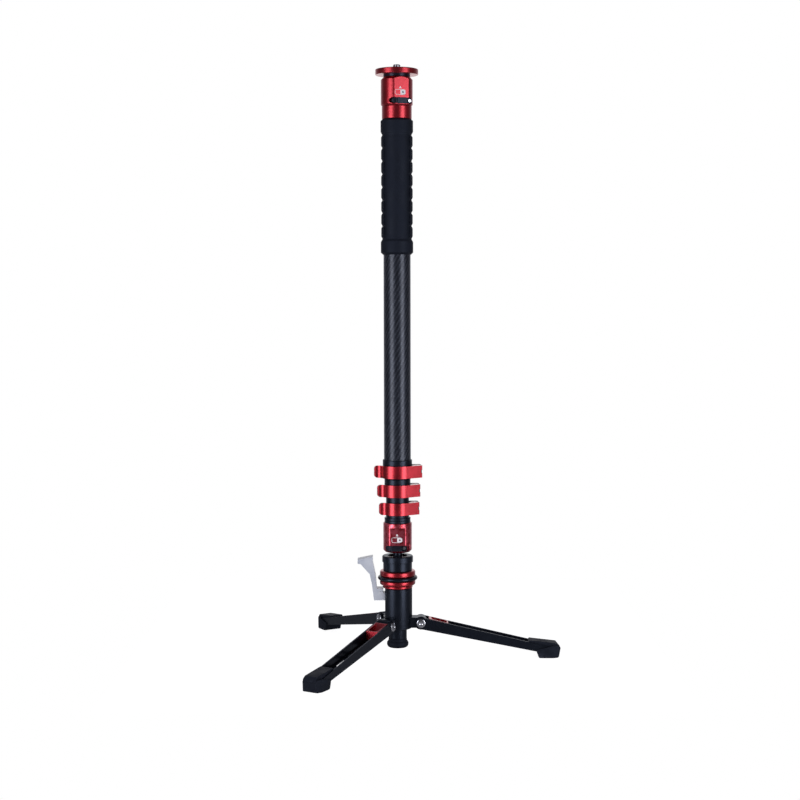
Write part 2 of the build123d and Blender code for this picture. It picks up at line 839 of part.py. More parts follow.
for index in range(len(clamp_heights)):
    place = index + 1
    save(clamp_body(index), f"clamp_{place}_body")
    save(clamp_bush(index), f"clamp_{place}_bush")
    save(lever(index), f"lever_{place}")
    save(lever_pin(index), f"lever_{place}_pin")
    save(clamp_bolt(index), f"clamp_{place}_bolt")

# Base collar: glued on the last tube, with a spigot down into the lower sleeve
tube_4_radius = tube_radii[-1]
with BuildPart() as base_collar:
    ring_middle = (base_ring_top + base_sleeve_top) / 2
    spin(
        [
            (0, base_neck_top),
            (base_neck_radius, base_neck_top),
            (base_neck_radius, base_ring_top),
            (base_ring_radius, base_ring_top),
            (base_ring_radius, ring_middle + base_ring_groove / 2),
            (base_ring_radius - base_ring_groove, ring_middle + base_ring_groove / 2),
            (base_ring_radius - base_ring_groove, ring_middle - base_ring_groove / 2),
            (base_ring_radius, ring_middle - base_ring_groove / 2),
            (base_ring_radius, base_sleeve_top),
            (base_spigot_radius, base_sleeve_top),
            (base_spigot_radius, spigot_low),
            (0, spigot_low),
        ]
    )
    bar(tube_4_radius + running_gap, spigot_low + base_spigot_web, base_neck_top, Mode.SUBTRACT)
save(base_collar, "base_collar")

# Ball and plug, turned from one bar
plug_foot = base_sleeve_low + edge_chamfer
with BuildPart() as ball_stem:
    spin(
        [
            (0, ball_centre),
            (stem_radius, ball_centre),
            (stem_radius, plug_foot),
            (plug_radius, plug_foot),
            (plug_radius, base_window_low),
            (plug_groove_radius, base_window_low),
            (plug_groove_radius, base_window_low + window_height),
            (plug_radius, base_window_low + window_height),
            (plug_radius, base_plug_top - edge_chamfer),
            (plug_radius - edge_chamfer, base_plug_top),
            (0, base_plug_top),
        ]
    )
    with Locations((0, 0, ball_centre)):
        Sphere(ball_radius)
save(ball_stem, "ball_stem")

# Ball cup: a rim, a spherical inside, a seat bore and a spigot into the barrel
cup_inside = ball_radius + wide_gap
web_low = web_top - cup_web
with BuildPart() as ball_cup:
    spin(
        [
            (0, cup_top),
            (cup_rim_radius - cup_rim_chamfer, cup_top),
            (cup_rim_radius, cup_top - cup_rim_chamfer),
            (cup_rim_radius, cup_rim_low),
            (cup_body_radius, cup_rim_low),
            (cup_body_radius, cup_body_low),
            (cup_skirt_radius, cup_body_low),
            (cup_skirt_radius, barrel_top),
            (cup_spigot_radius, barrel_top),
            (cup_spigot_radius, barrel_top - cup_spigot_height),
            (0, barrel_top - cup_spigot_height),
        ]
    )
    with Locations((0, 0, ball_centre)):
        Sphere(cup_inside, mode=Mode.SUBTRACT)
    bar(cup_mouth_radius, ball_centre, cup_top, Mode.SUBTRACT)
    bar(cup_inside, web_top, ball_centre, Mode.SUBTRACT)
    bar(cup_web_hole_radius, web_low, web_top, Mode.SUBTRACT)
    bar(cup_lower_bore_radius, barrel_top - cup_spigot_height, web_low, Mode.SUBTRACT)
save(ball_cup, "ball_cup")

# Ball seat: a dished plastic disc under the ball
with BuildPart() as ball_seat:
    bar(cup_inside - wide_gap, web_top, web_top + seat_height)
    with Locations((0, 0, ball_centre)):
        Sphere(cup_inside, mode=Mode.SUBTRACT)
    bar(seat_hole_radius, web_top, web_top + seat_height, Mode.SUBTRACT)
save(ball_seat, "ball_seat")

# Tension ring, with a rubber ring in its groove
with BuildPart() as tension_ring:
    spin(
        [
            (cup_skirt_radius + running_gap, ring_top),
            (ring_radius - ring_chamfer, ring_top),
            (ring_radius, ring_top - ring_chamfer),
            (ring_radius, ring_groove_top),
            (ring_groove_radius, ring_groove_top),
            (ring_groove_radius, ring_groove_low),
            (ring_radius, ring_groove_low),
            (ring_radius, ring_lip_top + ring_chamfer),
            (ring_radius - ring_chamfer, ring_lip_top),
            (ring_lip_radius, ring_lip_top),
            (ring_lip_radius, ring_low),
            (cup_skirt_radius + running_gap, ring_low),
        ]
    )
save(tension_ring, "tension_ring")

o_ring_centre = (ring_groove_radius + running_gap + o_ring_radius, (ring_groove_top + ring_groove_low) / 2)
with BuildPart() as ring_o_ring:
    with BuildSketch(Plane.XZ):
        with Locations(o_ring_centre):
            Circle(o_ring_radius)
    revolve(axis=Axis.Z)
save(ring_o_ring, "ring_o_ring")

# Barrel: bored for the brake, flattened and windowed on the pedal's side
counterbore_low = barrel_top - cup_spigot_height
hinge_z = barrel_low + pedal_hinge_height
pedal_side = side_plane(pedal_azimuth, barrel_low)
window_half_width = pedal_half_width + pedal_side_gap
with BuildPart() as barrel:
    bar(barrel_radius, barrel_low, barrel_top)
    chamfer(barrel.edges().filter_by(GeomType.CIRCLE).group_by(Axis.Z)[-1], edge_chamfer)
    cut_flat(pedal_azimuth, barrel_flat_distance, barrel_radius, barrel_low, barrel_top)
    bar(barrel_bore_radius, barrel_low, counterbore_low, Mode.SUBTRACT)
    bar(cup_spigot_radius + running_gap, counterbore_low, barrel_top, Mode.SUBTRACT)
    window = [
        (0, barrel_window_low),
        (barrel_radius + cut_overrun, barrel_window_low),
        (barrel_radius + cut_overrun, barrel_window_high),
        (0, barrel_window_high),
    ]
    block(pedal_side, window, window_half_width, Mode.SUBTRACT)
    hinge_plane = side_plane(pedal_azimuth, hinge_z)
    hinge_at = (pedal_hinge_distance, 0)
    hole_reach = pedal_pin_length / 2 + wide_gap
    hole_radius = pedal_pin_radius + running_gap
    cross_bar(hole_radius, hinge_plane, -hole_reach, hole_reach, Mode.SUBTRACT, hinge_at)
save(barrel, "barrel")

with BuildPart() as pedal_pin:
    half_length = pedal_pin_length / 2
    cross_bar(pedal_pin_radius, hinge_plane, -half_length, half_length, centre=hinge_at)
save(pedal_pin, "pedal_pin")

# Pedal: a foot pad on a bent arm, and a fork inside the barrel whose nose lifts the plunger
pedal_shares = [
    (1.0, 0.838),
    (1.0, 0.929),
    (0.622, 1.0),
    (0.622, 0.861),
    (0.547, 0.541),
    (0.522, 0.268),
    (0.360, 0.268),
    (0.360, 0.165),
    (0.217, 0.165),
    (0.217, 0.0),
    (0.592, 0.0),
    (0.648, 0.380),
    (0.697, 0.598),
    (0.923, 0.827),
]
nose_z = hinge_z
with BuildPart() as pedal:
    outline = scaled(pedal_shares, pedal_reach, pedal_rise, (0, pedal_low))
    block(pedal_side, outline, pedal_half_width)
    slit = [
        (0, pedal_low + pedal_slit_height),
        (barrel_flat_distance + pedal_slit_depth, pedal_low + pedal_slit_height),
        (barrel_flat_distance + pedal_slit_depth, pedal_low + pedal_slit_height + pedal_slit),
        (0, pedal_low + pedal_slit_height + pedal_slit),
    ]
    block(pedal_side, slit, pedal_half_width, Mode.SUBTRACT)
    nose_plane = side_plane(pedal_azimuth, nose_z)
    prong_outer = pedal_half_width
    prong_inner = pedal_half_width - pedal_prong_thickness
    for start in (-prong_outer, prong_inner):
        end = start + pedal_prong_thickness
        with BuildSketch(nose_plane.offset(start)) as prong:
            Circle(pedal_nose_radius)
            with Locations((pedal_hinge_distance / 2, 0)):
                Rectangle(pedal_hinge_distance, 2 * pedal_nose_radius)
        extrude(prong.sketch, amount=end - start)
    cross_bar(hole_radius, hinge_plane, -prong_outer, prong_outer, Mode.SUBTRACT, hinge_at)
save(pedal, "pedal")

# Brake plunger: lifted by the pedal's nose, guided in the hub, pushing up at the ball seat
flange_low = nose_z + pedal_nose_radius + running_gap
flange_top = flange_low + plunger_flange_height
plunger_low = hub_low + peg_socket_depth + cut_overrun + plunger_root_gap
with BuildPart() as brake_plunger:
    bar(plunger_shaft_radius, plunger_low, flange_low)
    bar(plunger_flange_radius, flange_low, flange_top)
    bar(plunger_upper_radius, flange_top, web_top - plunger_upper_gap)
save(brake_plunger, "brake_plunger")

# Return spring between the plunger's flange and the cup's web
spring_low = flange_top + spring_end_gap + spring_wire_radius
spring_high = web_low - spring_end_gap - spring_wire_radius
with BuildPart() as plunger_spring:
    with BuildLine() as coil:
        Helix(
            pitch=(spring_high - spring_low) / spring_turns,
            height=spring_high - spring_low,
            radius=spring_radius,
            center=(0, 0, spring_low),
        )
    with BuildSketch(Plane(origin=coil.line @ 0, z_dir=coil.line % 0)):
        Circle(spring_wire_radius)
    sweep(is_frenet=True)
save(plunger_spring, "plunger_spring")

# Hub: a disc under the barrel with three arms that end in round knuckles
with BuildPart() as hub:
    bar(hub_radius, hub_low, barrel_low)
    chamfer(hub.edges().filter_by(GeomType.CIRCLE).group_by(Axis.Z)[0], hub_edge)
    for azimuth in leg_azimuths:
        arm = [
            (0, hub_low + arm_low),
            (leg_pivot_radius, hub_low + arm_low),
            (leg_pivot_radius, hub_low + arm_top),
            (0, hub_low + arm_top),
        ]
        block(side_plane(azimuth), arm, knuckle_half_width)
        knuckle = side_plane(azimuth, pivot_z)
        pivot_at = (leg_pivot_radius, 0)
        cross_bar(knuckle_radius, knuckle, -knuckle_half_width, knuckle_half_width, centre=pivot_at)
        pin_hole = leg_pin_radius + running_gap
        cross_bar(
            pin_hole, knuckle, -knuckle_half_width, knuckle_half_width, Mode.SUBTRACT, pivot_at
        )
    bar(plunger_shaft_radius + running_gap, plunger_low - plunger_root_gap, barrel_low, Mode.SUBTRACT)
    bar(peg_socket_radius + running_gap, hub_low, hub_low + peg_socket_depth, Mode.SUBTRACT)
save(hub, "hub")

# Ground peg with its rubber foot
with BuildPart() as ground_peg:
    bar(peg_radius, peg_low, hub_low)
    bar(peg_socket_radius, hub_low, hub_low + peg_socket_depth)
    bar(peg_spigot_radius, peg_low - peg_spigot_height, peg_low)
save(ground_peg, "ground_peg")

peg_foot_shares = [
    (0.842, 1.0),
    (0.862, 0.76),
    (0.985, 0.55),
    (1.0, 0.40),
    (0.985, 0.24),
    (0.93, 0.09),
    (0.83, 0.0),
    (0.0, 0.0),
    (0.0, 1.0),
]
with BuildPart() as peg_foot:
    spin(scaled(peg_foot_shares, peg_foot_radius, peg_foot_height, (0, peg_foot_low)))
    bar(peg_spigot_radius + running_gap, peg_low - peg_spigot_height, peg_low, Mode.SUBTRACT)
save(peg_foot, "peg_foot")

# Leg pins, one through each knuckle and its leg
pin_head_start = leg_half_width + running_gap
pin_head_end = pin_head_start + leg_pin_head_thickness
with BuildPart() as leg_pins:
    for azimuth in leg_azimuths:
        knuckle = side_plane(azimuth, pivot_z)
        pivot_at = (leg_pivot_radius, 0)
        cross_bar(leg_pin_radius, knuckle, -pin_head_start, pin_head_start, centre=pivot_at)
        cross_bar(leg_pin_head_radius, knuckle, pin_head_start, pin_head_end, centre=pivot_at)
        cross_bar(leg_pin_head_radius, knuckle, -pin_head_end, -pin_head_start, centre=pivot_at)
save(leg_pins, "leg_pins")


# Legs: tapered channels open at the top, with slots in their floors
leg_slope = (leg_half_height - leg_end_half_height) / leg_length
leg_end_radius = leg_pivot_radius + leg_length * cos(radians(leg_tilt))


def leg_plane(azimuth):
    """An upright plane at a leg's pivot: x runs down along the leg and y up across it."""
    outward = (cos(radians(azimuth)), sin(radians(azimuth)))
    origin = (leg_pivot_radius * outward[0], leg_pivot_radius * outward[1], pivot_z)
    level = cos(radians(leg_tilt))
    along = (outward[0] * level, outward[1] * level, -sin(radians(leg_tilt)))
    return Plane(origin=origin, x_dir=along, z_dir=(outward[1], -outward[0], 0))


def leg_floor_plane(azimuth):
    """A plane at a leg's pivot that faces up out of the channel, with x along the leg."""
    side = leg_plane(azimuth)
    return Plane(origin=side.origin, x_dir=side.x_dir, z_dir=side.y_dir)


def half_height_at(along):
    """Half the height of a leg's channel at a distance from its pivot."""
    return leg_half_height - along * leg_slope


def channel_leg(azimuth):
    """A leg channel: two side walls and a floor that starts clear of the knuckle."""
    side = leg_plane(azimuth)
    end = leg_length
    beyond = end + cut_overrun
    high = leg_half_height + cut_overrun
    inner_half_width = leg_half_width - leg_wall
    body_outline = [
        (0, leg_half_height),
        (end, leg_end_half_height),
        (end, -leg_end_half_height),
        (0, -leg_half_height),
    ]
    hollow_outline = [
        (-high, high),
        (beyond, high),
        (beyond, leg_wall - half_height_at(beyond)),
        (leg_floor_start, leg_wall - half_height_at(leg_floor_start)),
        (leg_floor_start, -high),
        (-high, -high),
    ]
    with BuildPart() as leg:
        block(side, body_outline, leg_half_width)
        cross_bar(leg_half_height, side, -leg_half_width, leg_half_width)
        block(side, hollow_outline, inner_half_width, Mode.SUBTRACT)
        cross_bar(leg_pin_radius + running_gap, side, -leg_half_width, leg_half_width, Mode.SUBTRACT)
        with BuildSketch(leg_floor_plane(azimuth)) as windows:
            for start, finish in leg_window_spans:
                with Locations(((start + finish) / 2, 0)):
                    RectangleRounded(finish - start, 2 * leg_window_half_width, leg_window_rounding)
        extrude(windows.sketch, amount=-high, mode=Mode.SUBTRACT)
    return leg


def leg_latch(azimuth):
    """The sliding latch in a leg: a block with a finger dish, rimmed at its sides and outer end."""
    side = leg_plane(azimuth)
    start = knuckle_radius + body_gap
    end = latch_outer_end
    body_outline = [
        (start, latch_top_start),
        (end - latch_top_end_inset, latch_top_end),
        (end, -latch_low),
        (start, -latch_low),
    ]
    above = latch_top_start + cut_overrun
    scoop_end = end - latch_top_end_inset - latch_scoop_rim
    scoop_floor = latch_top_end - latch_scoop_depth
    scoop_outline = [
        (latch_scoop_start, above),
        (latch_scoop_start, latch_top_start),
        ((latch_scoop_start + scoop_end) / 2, scoop_floor),
        (scoop_end, scoop_floor),
        (scoop_end, above),
    ]
    dish_width = 2 * (latch_half_width - latch_scoop_rim)
    with BuildPart() as dish:
        block(side, scoop_outline, latch_half_width)
        with BuildSketch(leg_floor_plane(azimuth)) as plan:
            RectangleRounded(2 * scoop_end, dish_width, latch_scoop_rounding)
        extrude(plan.sketch, amount=above, both=True, mode=Mode.INTERSECT)
    with BuildPart() as latch:
        block(side, body_outline, latch_half_width)
        add(dish.part, mode=Mode.SUBTRACT)
    return latch


foot_block_shares = [
    (0.0, 0.72),
    (0.10, 0.10),
    (0.14, 0.0),
    (0.889, 0.0),
    (0.937, 0.10),
    (1.0, 0.80),
    (0.873, 0.98),
    (0.641, 1.0),
    (0.089, 0.72),
]
foot_plan_shares = [(0.0, 0.92), (0.3, 1.0), (0.7, 1.0), (1.0, 0.67)]
foot_cap_shares = [
    (0.0, 0.894),
    (0.06, 1.0),
    (0.875, 0.825),
    (0.98, 0.58),
    (0.92, 0.12),
    (0.42, 0.12),
]


def rubber_foot(azimuth):
    """A rubber foot: a broad block below the leg's end and a narrower cap inside its channel."""
    side = leg_plane(azimuth)
    foot_start = leg_end_radius - foot_grip
    upright = side_plane(azimuth, floor_z)
    block_outline = scaled(foot_block_shares, foot_length, foot_block_height, (foot_start, 0))
    cap_start = foot_start - foot_cap_lead
    cap_length = foot_length + foot_cap_lead
    cap_outline = scaled(foot_cap_shares, cap_length, foot_cap_height, (cap_start, 0))
    plan_points = scaled(foot_plan_shares, foot_length, foot_half_width, (foot_start, 0))
    mirrored = [(along, -across) for along, across in reversed(plan_points)]
    wall_middle = leg_half_width - leg_wall / 2
    with BuildPart() as lower:
        block(upright, block_outline, foot_half_width)
        with BuildSketch(plan_plane(azimuth, floor_z)):
            with BuildLine():
                Polyline(*plan_points, *mirrored, close=True)
            make_face()
        extrude(amount=foot_cap_height, mode=Mode.INTERSECT)
    with BuildPart() as foot:
        add(lower.part)
        block(upright, cap_outline, foot_cap_half_width)
        # Room for the channel's two walls and its floor
        above = leg_half_height + cut_overrun
        beyond = leg_length + running_gap
        wall_outline = [
            (0, above),
            (beyond, above),
            (beyond, -half_height_at(leg_length) - running_gap),
            (0, -half_height_at(0) - running_gap),
        ]
        for offset in (-wall_middle, wall_middle):
            block(side.offset(offset), wall_outline, leg_wall / 2 + running_gap, Mode.SUBTRACT)
        floor_outline = [
            (0, leg_wall + running_gap - half_height_at(0)),
            (beyond, leg_wall + running_gap - half_height_at(leg_length)),
            (beyond, -half_height_at(leg_length) - running_gap),
            (0, -half_height_at(0) - running_gap),
        ]
        block(side, floor_outline, leg_half_width, Mode.SUBTRACT)
    return foot


for index, azimuth in enumerate(leg_azimuths):
    place = index + 1
    save(channel_leg(azimuth), f"leg_{place}")
    save(leg_latch(azimuth), f"latch_{place}")
    save(rubber_foot(azimuth), f"foot_{place}")
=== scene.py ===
# %% [markdown]
# # A carbon monopod with three folding feet
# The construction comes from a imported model, in metres: every tube, clamp and lever already stands
# where it belongs. This lesson gives each surface its finish, models the forms that a plain solid
# only hints at, and photographs the result in a small studio.

# %% Load the frame
import json
from math import cos, hypot, pi, radians, sin

import bmesh
import bpy
import numpy as np
from mathutils import Euler, Matrix, Vector


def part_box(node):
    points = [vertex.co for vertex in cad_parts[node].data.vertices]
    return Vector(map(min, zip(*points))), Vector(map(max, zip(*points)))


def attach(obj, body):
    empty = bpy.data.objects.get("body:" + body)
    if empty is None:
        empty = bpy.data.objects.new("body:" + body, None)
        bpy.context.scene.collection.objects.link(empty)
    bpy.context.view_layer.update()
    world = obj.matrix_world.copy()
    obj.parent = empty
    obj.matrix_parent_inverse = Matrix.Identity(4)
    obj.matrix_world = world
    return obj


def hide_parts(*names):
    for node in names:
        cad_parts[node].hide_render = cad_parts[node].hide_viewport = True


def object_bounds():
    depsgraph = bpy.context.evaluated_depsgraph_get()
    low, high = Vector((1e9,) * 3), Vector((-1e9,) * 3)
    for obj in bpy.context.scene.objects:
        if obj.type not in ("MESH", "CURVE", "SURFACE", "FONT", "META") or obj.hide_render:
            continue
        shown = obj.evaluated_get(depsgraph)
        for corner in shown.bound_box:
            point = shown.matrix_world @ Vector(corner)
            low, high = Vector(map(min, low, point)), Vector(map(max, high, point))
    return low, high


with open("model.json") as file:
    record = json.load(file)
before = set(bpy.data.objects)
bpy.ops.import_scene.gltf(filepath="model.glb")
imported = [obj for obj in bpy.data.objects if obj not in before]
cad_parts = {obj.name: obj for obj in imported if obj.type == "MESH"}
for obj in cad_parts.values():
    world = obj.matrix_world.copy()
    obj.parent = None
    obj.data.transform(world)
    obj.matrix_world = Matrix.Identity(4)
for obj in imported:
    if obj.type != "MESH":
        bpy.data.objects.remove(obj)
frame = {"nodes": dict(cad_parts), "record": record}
nodes = frame["nodes"]
cad_low, cad_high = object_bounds()
print("frame box", [round(value, 4) for value in (*cad_low, *cad_high)])

# %% [markdown]
# ## The camera
# The photograph was taken from about two metres, from just below the foot of the grip and tipped
# slightly down. A long lens keeps the tall object nearly parallel. The film was a hair off level,
# so the camera is rolled by a tenth of a degree, which is easier than leaning the object.

# %% Camera
camera_distance = 1.953
camera_side = 0.0034
camera_height = -0.2688
camera_pitch = radians(4.2)
camera_roll = radians(-0.1)

camera_data = bpy.data.cameras.new("camera")
camera_data.lens = 69.75
camera_data.sensor_width = 36
camera_data.clip_end = 50
camera = bpy.data.objects.new("camera", camera_data)
camera.location = (camera_side, -camera_distance, camera_height)
upright = Euler((pi / 2 - camera_pitch, 0, 0)).to_matrix()
camera.rotation_euler = (upright @ Matrix.Rotation(camera_roll, 3, "Z")).to_euler()
bpy.context.scene.collection.objects.link(camera)
bpy.context.scene.camera = camera
print("camera at", tuple(round(value, 3) for value in camera.location))

# %% [markdown]
# ## Small helpers for nodes
# Materials are graphs. One helper adds a node, sets its properties and fills its inputs: a plain
# value is stored in the socket, and another node's output is linked to it. With it a material reads
# like a recipe.


# %% Node helpers
def linear(red, green, blue):
    """A display colour, 0 to 255, as the linear colour that a shader needs.

    Each share c of the display colour becomes ((c + 0.055) / 1.055) ^ 2.4, or c / 12.92 when it is
    near black.
    """
    shares = np.array([red, green, blue]) / 255
    light = np.where(shares <= 0.04045, shares / 12.92, ((shares + 0.055) / 1.055) ** 2.4)
    return (*light.tolist(), 1.0)


def add(tree, kind, inputs=None, **properties):
    """Adds a node. Its inputs, by name or index, get a value or a link to another node's output."""
    node = tree.nodes.new(kind)
    for name, value in properties.items():
        setattr(node, name, value)
    for key, value in (inputs or {}).items():
        if isinstance(value, bpy.types.NodeSocket):
            tree.links.new(value, node.inputs[key])
        else:
            node.inputs[key].default_value = value
    return node


def compute(tree, operation, first, second=0.0):
    """One step of arithmetic on numbers or sockets."""
    return add(tree, "ShaderNodeMath", {0: first, 1: second}, operation=operation).outputs[0]


def ramp(tree, value, low, high, to_low=0.0, to_high=1.0):
    """Maps low..high to to_low..to_high with a smooth S curve, clamped at both ends."""
    inputs = {"Value": value, 1: low, 2: high, 3: to_low, 4: to_high}
    return add(tree, "ShaderNodeMapRange", inputs, interpolation_type="SMOOTHSTEP").outputs[0]


def mix(tree, share, first, second):
    """Mixes two colours: share 0 gives the first, share 1 the second."""
    inputs = {0: share, 6: first, 7: second}
    return add(tree, "ShaderNodeMix", inputs, data_type="RGBA").outputs[2]


def new_group(name, inputs, outputs):
    """An empty node group, with inputs given as name: default and outputs as name: socket type."""
    group = bpy.data.node_groups.new(name, "ShaderNodeTree")
    for key, value in inputs.items():
        socket = group.interface.new_socket(key, in_out="INPUT", socket_type="NodeSocketFloat")
        socket.default_value = value
    for key, kind in outputs.items():
        group.interface.new_socket(key, in_out="OUTPUT", socket_type=kind)
    return group, group.nodes.new("NodeGroupInput"), group.nodes.new("NodeGroupOutput")


print("a display grey of 128 is", round(linear(128, 128, 128)[0], 3), "of the light")

# %% [markdown]
# ## Shared surface effects
# Anodised aluminium is bead-blasted before it is coloured, so up close it has a very fine, even
# tooth and slow cloudy changes of gloss. The same holds for moulded rubber at another scale. One
# node group gives both from Object coordinates, and each material sets its own scale and depth.

# %% Grain
tooth_height = 0.0002
cloud_low, cloud_high = 0.3, 0.7

grain, grain_in, grain_out = new_group(
    "grain",
    {"Scale": 1500.0, "Depth": 0.2, "Gloss low": 0.3, "Gloss high": 0.4, "Cloud scale": 60.0},
    {"Roughness": "NodeSocketFloat", "Normal": "NodeSocketVector", "Cloud": "NodeSocketFloat"},
)
grain_place = add(grain, "ShaderNodeTexCoord").outputs["Object"]
tooth = add(
    grain,
    "ShaderNodeTexNoise",
    {"Vector": grain_place, "Scale": grain_in.outputs["Scale"], "Detail": 3.0},
)
cloud = add(
    grain,
    "ShaderNodeTexNoise",
    {"Vector": grain_place, "Scale": grain_in.outputs["Cloud scale"], "Detail": 4.0},
)
cloudy = ramp(grain, cloud.outputs[0], cloud_low, cloud_high)
rough = add(
    grain,
    "ShaderNodeMapRange",
    {"Value": cloudy, 3: grain_in.outputs["Gloss low"], 4: grain_in.outputs["Gloss high"]},
).outputs[0]
tooth_bump = add(
    grain,
    "ShaderNodeBump",
    {
        "Strength": grain_in.outputs["Depth"],
        "Distance": tooth_height,
        "Height": tooth.outputs[0],
    },
)
grain.links.new(rough, grain_out.inputs["Roughness"])
grain.links.new(tooth_bump.outputs[0], grain_out.inputs["Normal"])
grain.links.new(cloudy, grain_out.inputs["Cloud"])
print("grain group:", len(grain.nodes), "nodes")

# %% [markdown]
# Edges lose their dye first. Pointiness is bright on outside edges, and multiplying it by noise
# keeps the wear from being an even outline.

# %% Edge wear
patch_low, patch_high = 0.35, 0.65

edge_wear, wear_in, wear_out = new_group(
    "edge wear",
    {"Start": 0.52, "End": 0.62, "Patches": 220.0},
    {"Mask": "NodeSocketFloat"},
)
wear_place = add(edge_wear, "ShaderNodeTexCoord").outputs["Object"]
pointed = add(edge_wear, "ShaderNodeNewGeometry").outputs["Pointiness"]
wear_patch = add(
    edge_wear,
    "ShaderNodeTexNoise",
    {"Vector": wear_place, "Scale": wear_in.outputs["Patches"], "Detail": 3.0},
)
worn = ramp(edge_wear, pointed, wear_in.outputs["Start"], wear_in.outputs["End"])
patchy = ramp(edge_wear, wear_patch.outputs[0], patch_low, patch_high)
edge_wear.links.new(compute(edge_wear, "MULTIPLY", worn, patchy), wear_out.inputs["Mask"])
print("edge wear group:", len(edge_wear.nodes), "nodes")

# %% [markdown]
# ## Carbon cloth
# The tubes are rolled from woven carbon under clear lacquer. In a twill each tow goes over two and
# under two, one step further on in every row, and so diagonals appear. Round the tube the cell
# number is the angle times a count, along it the height over a tow length. A cell shows the warp
# where the difference of both numbers, modulo four, is nought or one. The place across a tow,
# folded at the middle and doubled, gives its crown: 0 at both edges and 1 along the middle. White
# noise of the two cell numbers gives each cell a shade of its own.

# %% Twill
tow_width = 0.00122
tow_length = 0.0021

twill, twill_in, twill_out = new_group(
    "twill",
    {"Count": 88.0},
    {"Warp": "NodeSocketFloat", "Crown": "NodeSocketFloat", "Tint": "NodeSocketFloat"},
)
spot = add(twill, "ShaderNodeSeparateXYZ", {0: add(twill, "ShaderNodeTexCoord").outputs["Object"]})
turn = compute(twill, "DIVIDE", compute(twill, "ARCTAN2", spot.outputs[1], spot.outputs[0]), 2 * pi)
across = compute(twill, "MULTIPLY", turn, twill_in.outputs["Count"])
along = compute(twill, "DIVIDE", spot.outputs[2], tow_length)
column = compute(twill, "FLOOR", across)
row = compute(twill, "FLOOR", along)
step = compute(twill, "FLOORED_MODULO", compute(twill, "SUBTRACT", column, row), 4.0)
warp = compute(twill, "LESS_THAN", step, 1.5)
across_tow = compute(twill, "PINGPONG", across, 0.5)
along_tow = compute(twill, "PINGPONG", along, 0.5)
warp_crown = compute(twill, "MULTIPLY", across_tow, 2.0)
weft_crown = compute(twill, "MULTIPLY", along_tow, 2.0)
crown = add(
    twill, "ShaderNodeMix", {0: warp, 2: weft_crown, 3: warp_crown}, data_type="FLOAT"
).outputs[0]
cell = add(twill, "ShaderNodeCombineXYZ", {0: column, 1: row})
tint = add(twill, "ShaderNodeTexWhiteNoise", {0: cell.outputs[0]}, noise_dimensions="2D")
twill.links.new(warp, twill_out.inputs["Warp"])
twill.links.new(crown, twill_out.inputs["Crown"])
twill.links.new(tint.outputs[0], twill_out.inputs["Tint"])
print("twill group:", len(twill.nodes), "nodes")


# %% [markdown]
# ## Finishes
# Every finish is a Principled shader whose colour, roughness and normal vary over the surface.
# Values that are the same everywhere, such as the coat, are set on the shader's own sockets.


# %% Finish helpers
def new_finish(name, **constants):
    """A material with a bare Principled shader, whose plain sockets take the given constants."""
    material = bpy.data.materials.new(name)
    material.use_nodes = True
    shader = material.node_tree.nodes["Principled BSDF"]
    for key, value in constants.items():
        shader.inputs[key.replace("_", " ")].default_value = value
    return material, material.node_tree, shader


def place_group(tree, group, **values):
    """Places a shared group in a material with its own values. Underscores stand for spaces."""
    node = add(tree, "ShaderNodeGroup", node_tree=group)
    for key, value in values.items():
        node.inputs[key.replace("_", " ")].default_value = value
    return node


def grained(name, deep, pale, worn_colour, grain_values, wear_values, **constants):
    """A finish with cloudy colour between two shades, fine tooth, and worn outside edges."""
    material, tree, shader = new_finish(name, **constants)
    texture = place_group(tree, grain, **grain_values)
    wear = place_group(tree, edge_wear, **wear_values)
    base = mix(tree, texture.outputs["Cloud"], deep, pale)
    colour = mix(tree, wear.outputs["Mask"], base, worn_colour)
    tree.links.new(colour, shader.inputs["Base Color"])
    tree.links.new(texture.outputs["Roughness"], shader.inputs["Roughness"])
    tree.links.new(texture.outputs["Normal"], shader.inputs["Normal"])
    return material


print("grained finishes place the groups", grain.name, "and", edge_wear.name)

# %% [markdown]
# Red anodised metal has tinted reflections, and over them the paler shine of the oxide layer, which
# a thin coat stands for. Black anodised metal is nearly neutral, and its shine has a touch of blue.
# Fresh edges on metal wear sooner than the skin of rubber or plastic does.

# %% Metals
metal_grain = {"Scale": 2600.0, "Depth": 0.08, "Gloss_low": 0.31, "Gloss_high": 0.37}
metal_wear = {"Start": 0.56, "End": 0.7}
blue_shine = (0.62, 0.74, 1.0, 1.0)
finishes = {}
finishes["red_anodised"] = grained(
    "red anodised metal",
    linear(176, 10, 32),
    linear(188, 16, 40),
    linear(226, 92, 112),
    metal_grain,
    metal_wear,
    Metallic=0.96,
    Coat_Weight=1.0,
    Coat_Roughness=0.28,
)
finishes["black_anodised"] = grained(
    "black anodised metal",
    linear(10, 12, 19),
    linear(14, 17, 25),
    linear(70, 74, 88),
    metal_grain,
    {"Start": 0.58, "End": 0.75},
    Metallic=0.1,
    Specular_Tint=blue_shine,
)
finishes["silver_anodised"] = grained(
    "silver anodised metal",
    linear(212, 218, 230),
    linear(222, 227, 237),
    linear(240, 242, 247),
    metal_grain,
    metal_wear,
    Metallic=0.2,
)
finishes["bright_steel"] = grained(
    "bright steel",
    linear(196, 198, 206),
    linear(212, 214, 220),
    linear(238, 238, 242),
    {"Scale": 3200.0, "Depth": 0.06, "Gloss_low": 0.16, "Gloss_high": 0.26},
    metal_wear,
    Metallic=1.0,
)
print("metal finishes:", ", ".join(finishes))

# %% [markdown]
# The grip is moulded rubber with a fine matt skin, the feet are a coarser rubber, the round ring in
# the tension ring is a glossy one, and the sliders and bushes are a hard black plastic. They differ
# in the scale of their grain and in gloss.

